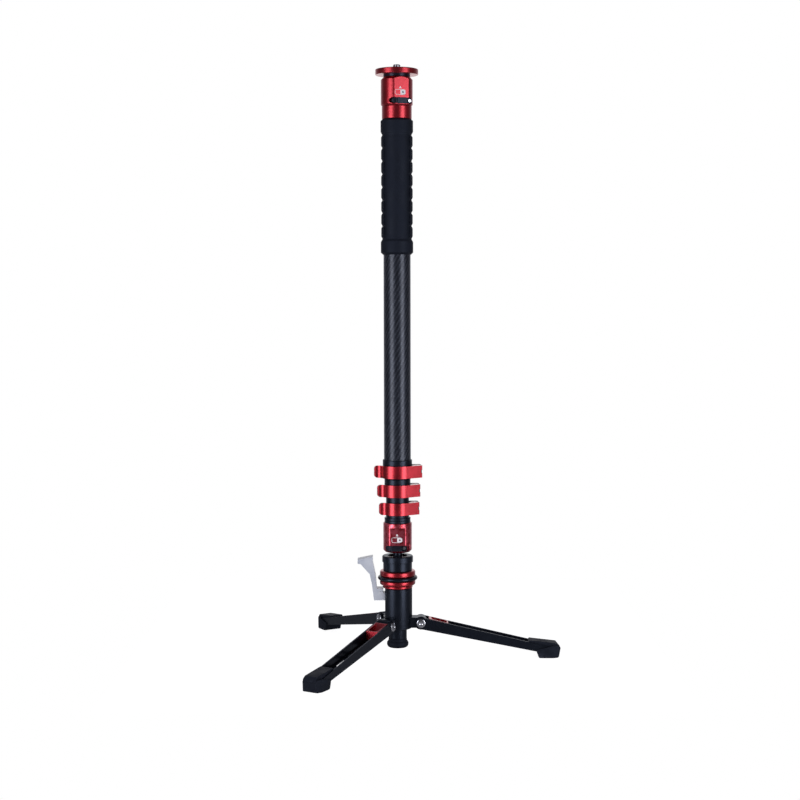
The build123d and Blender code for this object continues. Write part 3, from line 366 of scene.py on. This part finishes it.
# %% Rubber and plastic
skin_wear = {"Start": 0.56, "End": 0.72}
finishes["grip_rubber"] = grained(
    "grip rubber",
    linear(15, 17, 25),
    linear(20, 23, 33),
    linear(44, 48, 58),
    {"Scale": 2200.0, "Depth": 0.35, "Gloss_low": 0.58, "Gloss_high": 0.7},
    skin_wear,
    Specular_IOR_Level=0.3,
    Specular_Tint=blue_shine,
)
finishes["foot_rubber"] = grained(
    "foot rubber",
    linear(18, 20, 28),
    linear(24, 26, 35),
    linear(54, 57, 68),
    {"Scale": 1300.0, "Depth": 0.5, "Gloss_low": 0.55, "Gloss_high": 0.72},
    {"Start": 0.54, "End": 0.68},
    Specular_IOR_Level=0.35,
    Specular_Tint=blue_shine,
)
glossy_rubber = grained(
    "glossy rubber",
    linear(12, 13, 18),
    linear(16, 17, 23),
    linear(46, 48, 56),
    {"Scale": 1800.0, "Depth": 0.1, "Gloss_low": 0.24, "Gloss_high": 0.3},
    skin_wear,
    Specular_Tint=blue_shine,
)
finishes["black_plastic"] = grained(
    "black plastic",
    linear(12, 13, 18),
    linear(17, 18, 24),
    linear(46, 48, 56),
    {"Scale": 2000.0, "Depth": 0.2, "Gloss_low": 0.35, "Gloss_high": 0.48},
    skin_wear,
    Specular_Tint=blue_shine,
)
print("rubber and plastic:", glossy_rubber.name, "and", ", ".join(list(finishes)[-3:]))


# %% [markdown]
# Under the lacquer, warp tows are painted lighter, a painted sheen, and weft tows darker, a painted
# shade, and each tow is a low crown whose edges are painted darker, a painted shade between tows.
# The clear coat over them is smooth, so the strip lights run down the tube in soft streaks.


# %% Carbon
tow_height = 0.0001
# How far in from a tow's edge the painted valley shade reaches, and how much colour it keeps there.
valley_width, valley_light = 0.45, 0.55
millimetre = 0.001


def carbon_finish(radius):
    """Twill for one tube, with a multiple of four tows round it, so that the pattern closes."""
    material, tree, shader = new_finish(
        f"carbon cloth {round(2 * radius / millimetre)}",
        Metallic=0.3,
        Coat_Weight=0.4,
        Coat_Roughness=0.24,
        Specular_Tint=blue_shine,
    )
    count = 4.0 * round(2 * pi * radius / tow_width / 4)
    weave = place_group(tree, twill, Count=count)
    texture = place_group(tree, grain, Scale=900.0, Gloss_low=0.34, Gloss_high=0.46)
    # Warp tows are painted lighter, a painted sheen, and weft tows darker, a painted shade.
    sheen_warp_colour = mix(tree, weave.outputs["Tint"], linear(36, 38, 46), linear(64, 66, 74))
    shaded_weft_colour = mix(tree, weave.outputs["Tint"], linear(8, 10, 16), linear(20, 22, 29))
    cloth = mix(tree, weave.outputs["Warp"], shaded_weft_colour, sheen_warp_colour)
    # Towards the edges of each tow the colour is painted darker, a painted shade in the valleys
    # between tows.
    valley_shade = ramp(tree, weave.outputs["Crown"], 0.0, valley_width, valley_light, 1.0)
    shade = mix(tree, valley_shade, linear(6, 7, 11), cloth)
    relief = add(
        tree,
        "ShaderNodeBump",
        {"Strength": 0.35, "Distance": tow_height, "Height": weave.outputs["Crown"]},
    ).outputs[0]
    tree.links.new(shade, shader.inputs["Base Color"])
    tree.links.new(texture.outputs["Roughness"], shader.inputs["Roughness"])
    tree.links.new(relief, shader.inputs["Normal"])
    return material


tow_cell = [round(side / millimetre, 2) for side in (tow_width, tow_length)]
print("one cell of the weave is", tow_cell[0], "by", tow_cell[1], "mm")

# %% [markdown]
# Each frame node brings a slot name, and the finish of that name goes into the slot. Each tube has
# a carbon finish of its own, because the tows keep their width and their number follows the girth.

# %% Dress every node
node_slot = {name: node.material_slots[0].material.name for name, node in nodes.items()}
for name, node in nodes.items():
    if node_slot[name] == "carbon":
        low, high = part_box(name)
        node.material_slots[0].material = carbon_finish((high.x - low.x) / 2)
    else:
        node.material_slots[0].material = finishes[node_slot[name]]
nodes["ring_o_ring"].material_slots[0].material = glossy_rubber
print("dressed", len(nodes), "nodes in", len(set(node_slot.values())), "finishes")


# %% [markdown]
# ## Turned walls
# Most parts here are turned about the pole, and on their walls the exact normal is known: it points
# straight away from the axis, or straight at it inside a bore, whatever triangles the wall was cut
# into. Setting it by that rule keeps the shine even on every round wall.

# %% Normals of turned walls
merge_distance = 2e-6
upright_limit = 0.03
turned_limit = 0.96
radius_limit = 0.00003


def true_turned_normals(mesh):
    """Sets corner normals to the direction (x, y, 0) / radius on walls turned about the pole.

    A face counts as turned when it is upright, all its corners have one radius, and its own normal
    points along that direction or against it.
    """
    corner_count, face_count = len(mesh.loops), len(mesh.polygons)
    normals = np.empty(corner_count * 3)
    mesh.corner_normals.foreach_get("vector", normals)
    normals = normals.reshape(-1, 3)
    corner_vertex = np.empty(corner_count, dtype=int)
    mesh.loops.foreach_get("vertex_index", corner_vertex)
    points = np.empty(len(mesh.vertices) * 3)
    mesh.vertices.foreach_get("co", points)
    corners = points.reshape(-1, 3)[corner_vertex]
    starts = np.empty(face_count, dtype=int)
    mesh.polygons.foreach_get("loop_start", starts)
    counts = np.empty(face_count, dtype=int)
    mesh.polygons.foreach_get("loop_total", counts)
    face_normals = np.empty(face_count * 3)
    mesh.polygons.foreach_get("normal", face_normals)
    face_normals = np.repeat(face_normals.reshape(-1, 3), counts, axis=0)
    radius = np.hypot(corners[:, 0], corners[:, 1])
    spread = np.maximum.reduceat(radius, starts) - np.minimum.reduceat(radius, starts)
    outward = corners[:, :2] / np.maximum(radius, merge_distance)[:, None]
    facing = (outward * face_normals[:, :2]).sum(axis=1)
    upright = np.abs(face_normals[:, 2]) < upright_limit
    turned = np.repeat(spread < radius_limit, counts) & upright & (np.abs(facing) > turned_limit)
    exact = np.column_stack([outward, np.zeros(corner_count)]) * np.sign(facing)[:, None]
    normals[turned] = exact[turned]
    mesh.normals_split_custom_set(normals.tolist())


print("corners of a turned wall keep one radius within", round(radius_limit / millimetre, 2), "mm")

# %% [markdown]
# Each new piece belongs to a CAD node. It rides on the node's body, which the record names, so that
# it moves as the node did, and it takes the node's finish unless its mesh brings one of its own.

# %% Pieces on their bodies
body_of = {}
for body, body_nodes in frame["record"]["behaviour"]["bodies"].items():
    for name in body_nodes:
        body_of[name] = body


def as_piece(name, mesh, node_name):
    """Puts a mesh in the scene as a piece that rides on the body of a node and takes its finish."""
    piece = bpy.data.objects.new(name, mesh)
    bpy.context.scene.collection.objects.link(piece)
    slot = node_slot[node_name]
    if not mesh.materials:
        mesh.materials.append(finishes[slot])
    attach(piece, body_of[node_name])
    return piece


# %% [markdown]
# ## Soft edges
# No machined edge is perfectly sharp: a tiny round catches a line of light, and that line tells the
# eye that the part is metal. A copy of each solid is merged, its flat triangles are joined into
# whole faces, a Bevel rounds every edge sharper than thirty degrees, and Weighted Normal keeps the
# wide faces flat. Where the flat of the base sleeve cuts its round wall, the edge is rounded more
# widely first, and each of those two ridges draws a bright upright line.

# %% Rounding helpers
edge_angle = radians(30)
edge_segments = 2
flat_angle = radians(0.4)
flat_weight = 90
ridge_angle = radians(15)
ridge_reach = 0.97
ridge_upright = 0.99
ridge_segments = 4


def on_ridge(edge, reach):
    """True for an upright edge at the outer radius, where a flat cuts the round wall."""
    along = edge.verts[1].co - edge.verts[0].co
    upright = abs(along.z) > ridge_upright * along.length
    outside = min(hypot(*vertex.co.xy) for vertex in edge.verts) > ridge_reach * reach
    return outside and upright and edge.calc_face_angle(0) > ridge_angle


def soften(node_name, width, ridge=0.0):
    """Replaces a node by a copy of itself whose sharp edges are rounded to the given width.

    A ridge width first rounds the upright edges of its flats, more widely than all the others.
    """
    mesh = nodes[node_name].data.copy()
    work = bmesh.new()
    work.from_mesh(mesh)
    bmesh.ops.remove_doubles(work, verts=work.verts, dist=merge_distance)
    bmesh.ops.dissolve_limit(
        work, angle_limit=flat_angle, verts=work.verts, edges=work.edges, delimit={"NORMAL"}
    )
    if ridge:
        reach = max(hypot(*vertex.co.xy) for vertex in work.verts)
        ridges = [edge for edge in work.edges if on_ridge(edge, reach)]
        bmesh.ops.bevel(
            work, geom=ridges, offset=ridge, segments=ridge_segments, profile=0.5, affect="EDGES"
        )
        print("rounded", len(ridges), "ridges of", node_name)
    work.to_mesh(mesh)
    work.free()
    mesh.shade_smooth()
    piece = as_piece(f"{node_name}_edged", mesh, node_name)
    bevel = piece.modifiers.new("soft edges", "BEVEL")
    bevel.width = width
    bevel.segments = edge_segments
    bevel.limit_method = "ANGLE"
    bevel.angle_limit = edge_angle
    bevel.use_clamp_overlap = True
    weighted = piece.modifiers.new("flat faces", "WEIGHTED_NORMAL")
    weighted.weight = flat_weight
    finished = piece.evaluated_get(bpy.context.evaluated_depsgraph_get())
    piece.data = bpy.data.meshes.new_from_object(finished)
    piece.modifiers.clear()
    true_turned_normals(piece.data)
    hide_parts(node_name)


print("each soft edge is rounded in", edge_segments, "steps")

# %% [markdown]
# The widths follow how each part is made. Clamp bodies and lock bars are crisp, with 0.2 mm, other
# machined parts and the grip get 0.25 or 0.3 mm, and the rubber feet 0.4 or 0.6 mm.

# %% Rounded copies
edge_widths = {
    "camera_plate": 0.00025,
    "head_sleeve": 0.00025,
    "head_collar": 0.0003,
    "head_lock_slider": 0.0002,
    "base_collar": 0.00025,
    "base_sleeve": 0.00025,
    "base_lock_slider": 0.0002,
    "ball_cup": 0.0003,
    "barrel": 0.00025,
    "pedal": 0.0003,
    "hub": 0.00025,
    "ground_peg": 0.0003,
    "peg_foot": 0.0004,
    "grip": 0.0003,
}
for number in (1, 2, 3):
    edge_widths[f"clamp_{number}_body"] = 0.0002
    edge_widths[f"lever_{number}"] = 0.0003
    edge_widths[f"leg_{number}"] = 0.0003
    edge_widths[f"latch_{number}"] = 0.0003
    edge_widths[f"foot_{number}"] = 0.0006
ridge_widths = {"base_sleeve": 0.0008}
for name, width in edge_widths.items():
    soften(name, width, ridge_widths.get(name, 0.0))
print("softened", len(edge_widths), "pieces")


# %% [markdown]
# ## Turned forms
# A turned part is one outline carried round the pole. The outline is a few (radius, height) points,
# and a small arc is laid into each corner, so that the shine runs round it. The last point joins
# the first, which closes the ring.


# %% Lathe helpers
side_share = 0.45
seam_distance = 1e-7


def rounded_outline(points, radius, arc_steps):
    """Lays an arc into each corner of a closed outline, from a place on one side to the next side.

    Between those places, start and stop, a point of the arc at share t of the way is
    (1-t)^2 start + 2t(1-t) corner + t^2 stop. No arc takes more than 0.45 of the shorter side.
    """
    corners = np.array(points, dtype=float)
    before = np.roll(corners, 1, axis=0) - corners
    after = np.roll(corners, -1, axis=0) - corners
    length_before = np.linalg.norm(before, axis=1, keepdims=True)
    length_after = np.linalg.norm(after, axis=1, keepdims=True)
    reach = np.minimum(radius, side_share * np.minimum(length_before, length_after))
    start = (corners + before / length_before * reach)[:, None]
    stop = (corners + after / length_after * reach)[:, None]
    share = np.linspace(0, 1, arc_steps + 1)[None, :, None]
    arcs = (1 - share) ** 2 * start + 2 * share * (1 - share) * corners[:, None] + share**2 * stop
    return arcs.reshape(-1, 2)


def sealed_mesh(name, points, faces):
    """A mesh of points and faces whose doubled points are merged and whose faces look outwards."""
    mesh = bpy.data.meshes.new(name)
    mesh.from_pydata(points.tolist(), [], faces.tolist())
    work = bmesh.new()
    work.from_mesh(mesh)
    bmesh.ops.remove_doubles(work, verts=work.verts, dist=seam_distance)
    bmesh.ops.recalc_face_normals(work, faces=work.faces)
    work.to_mesh(mesh)
    work.free()
    return mesh


def grid_mesh(name, points, close_rows=True):
    """A smooth mesh from a grid of points, rows by columns by three, with quads between neighbours.

    The last column joins the first, and so does the last row unless close_rows is off.
    """
    rows, columns = points.shape[:2]
    index = np.arange(rows * columns).reshape(rows, columns)
    if close_rows:
        index = np.vstack([index, index[:1]])
    index = np.hstack([index, index[:, :1]])
    corners = [index[:-1, :-1], index[:-1, 1:], index[1:, 1:], index[1:, :-1]]
    quads = np.stack(corners, axis=-1).reshape(-1, 4)
    mesh = sealed_mesh(name, points.reshape(-1, 3), quads)
    mesh.shade_smooth()
    return mesh


def turned_mesh(name, outline, turns=192):
    """Carries an outline round the pole: x = r cos(a), y = r sin(a), z = h for each angle a."""
    angles = np.arange(turns) / turns * 2 * pi
    radius, height = outline[:, 0][None, :], outline[:, 1][None, :]
    level = np.broadcast_to(height, (turns, outline.shape[0]))
    across = radius * np.cos(angles)[:, None]
    deep = radius * np.sin(angles)[:, None]
    return grid_mesh(name, np.stack([across, deep, level], axis=-1))


print("an arc in a corner takes at most", side_share, "of the shorter side")

# %% [markdown]
# The tension ring carries the rubber ring in a deep groove. Both its lips are full rounds, and
# below them a cove leads to a thin bead, which the plain solid leaves out.

# %% Tension ring
ring_low, ring_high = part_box("tension_ring")
ring_radius = ring_high.x
ring_inside = 0.01705
upper_lip = 0.0065
groove_height = 0.0061
lower_lip = 0.0068
groove_radius = 0.0204
lip_round = 0.0026
cove_radius = 0.0181
cove_depth = 0.0014
bead_radius = 0.0190
ring_steps = 4
groove_top = ring_high.z - upper_lip
groove_low = groove_top - groove_height
lip_low = groove_low - lower_lip
ring_outline = rounded_outline(
    [
        (ring_inside, ring_high.z),
        (ring_radius, ring_high.z),
        (ring_radius, groove_top),
        (groove_radius, groove_top),
        (groove_radius, groove_low),
        (ring_radius, groove_low),
        (ring_radius, lip_low + cove_depth),
        (cove_radius, lip_low + cove_depth / 2),
        (cove_radius, lip_low),
        (bead_radius, lip_low),
        (bead_radius, ring_low.z),
        (ring_inside, ring_low.z),
    ],
    lip_round,
    ring_steps,
)
ring_mesh = turned_mesh("tension_ring_turned", ring_outline)
ring_piece = as_piece("tension_ring_turned", ring_mesh, "tension_ring")
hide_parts("tension_ring")
print("tension ring", len(ring_piece.data.polygons), "faces")

# %% [markdown]
# The three leg pins have low domed heads with a shallow round socket. One outline runs from one
# head along the shaft to the other, is turned about its own axis, and is laid across each hinge.

# %% Leg pins
pin_radius = 0.003
pin_turns = 48
head_radius = 0.0057
head_edge = 0.0005
head_depth = 0.0015
socket_radius = 0.0021
socket_depth = 0.0006
socket_taper = 0.85
dome_steps = 8
pin_azimuths = (0, 120, 240)
hinge_radius = 0.0297
hinge_low, hinge_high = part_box("leg_pins")
hinge_height = (hinge_low.z + hinge_high.z) / 2
head_end = 0.01205
head_start = head_end - head_depth
dome_start = head_start + head_edge
socket_floor = head_end - socket_depth

dome_angle = np.linspace(0, 1, dome_steps) * pi / 2
dome_radius = socket_radius + (head_radius - socket_radius) * np.sin(dome_angle)
dome_height = dome_start + (head_end - dome_start) * np.cos(dome_angle)
half_pin = np.vstack(
    [
        [(0, socket_floor), (socket_radius * socket_taper, socket_floor)],
        np.column_stack([dome_radius, dome_height]),
        [(head_radius, head_start), (pin_radius, head_start)],
    ]
)
pin_outline = np.vstack([half_pin, half_pin[::-1] * (1, -1)])
pin_mesh = turned_mesh("leg_pins_domed", pin_outline, pin_turns)
all_pins = bmesh.new()
placed_pin = bpy.data.meshes.new("placed pin")
for azimuth in pin_azimuths:
    outward = Vector((cos(radians(azimuth)), sin(radians(azimuth)), 0))
    lay_down = Matrix.Rotation(radians(azimuth), 4, "Z") @ Matrix.Rotation(pi / 2, 4, "X")
    carry = Matrix.Translation(outward * hinge_radius + Vector((0, 0, hinge_height)))
    one_pin = bmesh.new()
    one_pin.from_mesh(pin_mesh)
    one_pin.transform(carry @ lay_down)
    one_pin.to_mesh(placed_pin)
    one_pin.free()
    all_pins.from_mesh(placed_pin)
all_pins.to_mesh(pin_mesh)
all_pins.free()
bpy.data.meshes.remove(placed_pin)
pin_mesh.shade_smooth()
pins_piece = as_piece("leg_pins_domed", pin_mesh, "leg_pins")
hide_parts("leg_pins")
print("leg pins", len(pin_mesh.polygons), "faces")

# %% [markdown]
# ## Screw thread
# The camera screw is a coarse thread, sixteen turns to the inch. On a grid of turn and height the
# radius is the outer radius less a triangle wave of the height, shifted by the turn: as the turn
# goes once round, the wave climbs by one pitch. At the tip the thread runs out into a cone.

# %% Camera screw
screw_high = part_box("camera_stud")[1]
screw_radius = screw_high.x
inch = 0.0254
screw_pitch = inch / 16
thread_depth = 0.00062
crest_flat = 1.25
screw_tip = 0.0009
screw_start = -0.0012
screw_turns = 96
screw_rows = 110
row_height = np.linspace(screw_start, screw_high.z, screw_rows)[:, None]
screw_turn = (np.arange(screw_turns) / screw_turns)[None, :]
wave = np.abs((row_height / screw_pitch - screw_turn) % 1 - 0.5) * 2
crest = np.clip(wave * crest_flat, 0, 1)
tip_share = np.clip((row_height - screw_high.z) / screw_tip + 1, 0, 1)
tip_cone = tip_share * screw_tip
screw_reach = np.minimum(screw_radius - thread_depth * (1 - crest), screw_radius - tip_cone)
screw_angle = screw_turn * 2 * pi
screw_points = np.stack(
    [
        screw_reach * np.cos(screw_angle),
        screw_reach * np.sin(screw_angle),
        np.broadcast_to(row_height, screw_reach.shape),
    ],
    axis=-1,
)
cap_share = np.array([0.5, 0.0])[:, None, None]
cap_points = np.broadcast_to(screw_points[-1][None], (2, screw_turns, 3)).copy()
cap_points[..., :2] *= cap_share
foot_points = np.broadcast_to(screw_points[0][None], (1, screw_turns, 3)).copy()
foot_points[..., :2] = 0
screw_grid = np.concatenate([foot_points, screw_points, cap_points])
screw_mesh = grid_mesh("camera_screw_thread", screw_grid, close_rows=False)
screw_piece = as_piece("camera_screw_thread", screw_mesh, "camera_stud")
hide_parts("camera_stud")
turns_showing = round(screw_high.z / screw_pitch, 1)
print("camera screw", len(screw_mesh.polygons), "faces,", turns_showing, "turns showing")


# %% [markdown]
# ## Printed marks
# Each quick-release sleeve has a small printed sign over its lock bar. Here it is a plain pointer
# above a box of two cells, one open and one filled with a dot, which says which way the bar locks.
# It is a sheet of ink, cut from bands between two closed outlines, and Solidify thickens it.

# %% Mark helpers
ink, ink_tree, ink_shader = new_finish("printed ink")
ink_texture = place_group(
    ink_tree, grain, Scale=3000.0, Depth=0.1, Gloss_low=0.45, Gloss_high=0.6
)
ink_colour = mix(
    ink_tree, ink_texture.outputs["Cloud"], linear(244, 238, 242), linear(252, 248, 250)
)
ink_tree.links.new(ink_colour, ink_shader.inputs["Base Color"])
ink_tree.links.new(ink_texture.outputs["Roughness"], ink_shader.inputs["Roughness"])
ink_tree.links.new(ink_texture.outputs["Normal"], ink_shader.inputs["Normal"])

ink_thickness = 0.00004
mark_steps = 64
mark_centre = 0.02
pointer_corners = np.array([(0, 1), (-1, -0.8), (1, -0.8)])
pointer_size = 0.0034
box_width = 0.0138
box_tall = 0.0068
box_corner = 0.0016
box_line = 0.0005
dot_size = 0.0022


def rounded_box(width, height, corner):
    """A closed outline round a box: |x/a|^n + |y/b|^n = 1, where n grows as the corner shrinks."""
    power = min(width, height) / corner
    angle = np.arange(mark_steps) / mark_steps * 2 * pi
    shape = np.stack([np.cos(angle), np.sin(angle)], axis=-1)
    shape = np.sign(shape) * np.abs(shape) ** (2 / power)
    return shape * (width / 2, height / 2)


def band(outer, inner):
    """Quads between two closed outlines of equal count, as points in the plane and faces."""
    count = len(outer)
    here = np.arange(count)
    after = np.roll(here, -1)
    return np.vstack([outer, inner]), np.stack([here, after, after + count, here + count], axis=-1)


def filled(outline):
    """A band from an outline to a tiny copy of it at its middle, so that no hole is seen."""
    return band(outline, outline * mark_centre)


def lay_sheets(name, node_name, azimuth, distance, sheets, finish):
    """Lays flat sheets on a wall: point = distance * outward + side * tangent + height * up."""
    points, faces, start = [], [], 0
    for (flat, quads), (shift, height) in sheets:
        points.append(flat + (shift, height))
        faces.append(quads + start)
        start += len(flat)
    flat = np.vstack(points)
    outward = np.array([cos(radians(azimuth)), sin(radians(azimuth)), 0])
    tangent = np.array([-sin(radians(azimuth)), cos(radians(azimuth)), 0])
    up = np.array([0, 0, 1])
    spots = distance * outward + flat[:, :1] * tangent + flat[:, 1:] * up
    mesh = sealed_mesh(name, spots, np.vstack(faces))
    mesh.materials.append(finish)
    piece = as_piece(name, mesh, node_name)
    sheet = piece.modifiers.new("ink", "SOLIDIFY")
    sheet.thickness = ink_thickness
    sheet.offset = 0


def sleeve_mark(name, node_name, azimuth, distance, side, pointer_height, box_height):
    """The sign of one sleeve: pointer, box and filled cell in pale ink, and the dot in black."""
    pointer = pointer_corners.repeat(2, axis=0) * pointer_size / 2
    outer = rounded_box(box_width, box_tall, box_corner)
    inner = rounded_box(box_width - 2 * box_line, box_tall - 2 * box_line, box_corner - box_line)
    cell_width = box_width / 2
    cell = rounded_box(cell_width, box_tall - box_line, box_corner)
    dot = rounded_box(dot_size, dot_size, dot_size / 2)
    dot_place = (side + cell_width / 2, box_height)
    sheets = [
        (filled(pointer), (side, pointer_height)),
        (band(outer, inner), (side, box_height)),
        (band(cell, dot), dot_place),
    ]
    lay_sheets(name, node_name, azimuth, distance, sheets, ink)
    black_dot = [(filled(dot), dot_place)]
    lay_sheets(f"{name}_dot", node_name, azimuth, distance, black_dot, finishes["black_plastic"])


print("the ink is", round(ink_thickness / millimetre, 2), "mm thick")

# %% [markdown]
# The upper sleeve's flat is turned a little to the right of the lower one's. Each sign lies in the
# plane of its flat, so that half of the ink's thickness stands proud of the metal.

# %% The two signs
head_sign = {
    "azimuth": -70,
    "distance": 0.0176,
    "side": -0.0016,
    "pointer_height": -0.0238,
    "box_height": -0.0297,
}
base_sign = {
    "azimuth": -90,
    "distance": 0.0154,
    "side": -0.0006,
    "pointer_height": -0.5822,
    "box_height": -0.5885,
}
sleeve_mark("head_sleeve_mark", "head_sleeve", **head_sign)
sleeve_mark("base_sleeve_mark", "base_sleeve", **base_sign)
print("signs", head_sign["distance"], "and", base_sign["distance"], "m from the pole's middle")

# %% [markdown]
# ## The studio
# Two tall soft lamps stand left and right of the camera, and each draws one streak down every round
# part, with a dark stripe between them that only the dim room lights. A white room shows behind.

# %% Lamps
lamp_distance = 1.6
lamp_angles = (-46, 46)
lamp_width = 0.8
lamp_height = 1.5
lamp_middle = -0.54
lamp_power = 15.9
lamp_colour = (0.95, 0.95, 1.0)

for angle in lamp_angles:
    direction = Vector((sin(radians(angle)), -cos(radians(angle)), 0))
    lamp_data = bpy.data.lights.new("strip lamp", "AREA")
    lamp_data.shape = "RECTANGLE"
    lamp_data.size = lamp_width
    lamp_data.size_y = lamp_height
    lamp_data.energy = lamp_power
    lamp_data.color = lamp_colour
    lamp = bpy.data.objects.new("strip lamp", lamp_data)
    lamp.location = Vector((0, 0, lamp_middle)) + direction * lamp_distance
    lamp.rotation_euler = direction.to_track_quat("Z", "Y").to_euler()
    bpy.context.scene.collection.objects.link(lamp)
print("lamps", len(lamp_angles))

# %% [markdown]
# The world gives soft fill light. It is dim behind the camera, a step brighter past the object's
# sides, which draws a pale strip down the margin of every round part, and brightest at the back.
# The camera, and mirror rays that go to the back of the room, see it as white. How far back a ray
# goes is the y part of its direction, from -1 behind the camera to 1 behind the object.

# %% World
fill_front, fill_side, fill_back = 0.08, 0.16, 0.6
side_start, side_end = 0.15, 0.35
back_start, back_end = 0.45, 1.0
white_start, white_end = 0.9, 0.97
fill_colour = (0.93, 0.92, 1, 1)
world = bpy.data.worlds.new("studio")
bpy.context.scene.world = world
world.use_nodes = True
room = world.node_tree
room.nodes.clear()
path = add(room, "ShaderNodeLightPath")
direction = add(room, "ShaderNodeTexCoord").outputs["Generated"]
back = add(room, "ShaderNodeSeparateXYZ", {0: direction}).outputs[1]
glossy_ray, glass_ray = path.outputs["Is Glossy Ray"], path.outputs["Is Transmission Ray"]
mirrored = compute(room, "MAXIMUM", glossy_ray, glass_ray)
mirrored_back = compute(room, "MULTIPLY", mirrored, ramp(room, back, white_start, white_end))
seen = compute(room, "MAXIMUM", path.outputs["Is Camera Ray"], mirrored_back)
side_shade = ramp(room, back, side_start, side_end, fill_front, fill_side)
back_shade = ramp(room, back, back_start, back_end, 0.0, fill_back - fill_side)
shade = compute(room, "ADD", side_shade, back_shade)
fill = add(room, "ShaderNodeBackground", {"Color": fill_colour, "Strength": shade})
white = add(room, "ShaderNodeBackground", {"Color": (1, 1, 1, 1), "Strength": 1.0})
both = add(room, "ShaderNodeMixShader", {0: seen, 1: fill.outputs[0], 2: white.outputs[0]})
add(room, "ShaderNodeOutputWorld", {"Surface": both.outputs[0]})
print("world fill", fill_front, "in front,", fill_side, "at the sides,", fill_back, "at the back")

# %% [markdown]
# The floor is a small pale sheet that ends not far past the feet, so that the metal mirrors the dim
# room round it and not the paper. For the camera it glows, so that it joins the white room without
# an edge, and what the object shades still shows on it. Mirror rays see only a tenth of that glow,
# which keeps the walls of the legs, so near to the floor, as dark as they are.

# %% Floor
floor_side, floor_front, floor_back = 0.34, -0.26, 0.5
floor_drop = 0.0001
floor_colour = (0.5, 0.5, 0.51, 1)
floor_glow = (0.92, 0.92, 0.92, 1)
mirrored_glow = 0.1
floor_corners = [
    (-floor_side, floor_front),
    (floor_side, floor_front),
    (floor_side, floor_back),
    (-floor_side, floor_back),
]
floor_mesh = bpy.data.meshes.new("floor")
floor_points = [(x, y, cad_low.z - floor_drop) for x, y in floor_corners]
floor_mesh.from_pydata(floor_points, [], [(0, 1, 2, 3)])
floor = bpy.data.objects.new("floor", floor_mesh)
bpy.context.scene.collection.objects.link(floor)
paper, paper_tree, paper_shader = new_finish("pale floor", Roughness=0.9)
paper_path = add(paper_tree, "ShaderNodeLightPath")
paper_mirrored = compute(paper_tree, "MULTIPLY", paper_path.outputs["Is Glossy Ray"], mirrored_glow)
paper_seen = compute(paper_tree, "MAXIMUM", paper_path.outputs["Is Camera Ray"], paper_mirrored)
paper_shader.inputs["Base Color"].default_value = floor_colour
paper_shader.inputs["Emission Strength"].default_value = 1.0
glow = mix(paper_tree, paper_seen, (0, 0, 0, 1), floor_glow)
paper_tree.links.new(glow, paper_shader.inputs["Emission Color"])
floor_mesh.materials.append(paper)
print("floor", 2 * floor_side, "by", round(floor_back - floor_front, 2), "m")

# %% [markdown]
# ## Finish
# The plain display transform shows colours as they are written.

# %% Display transform
bpy.context.scene.view_settings.view_transform = "Standard"
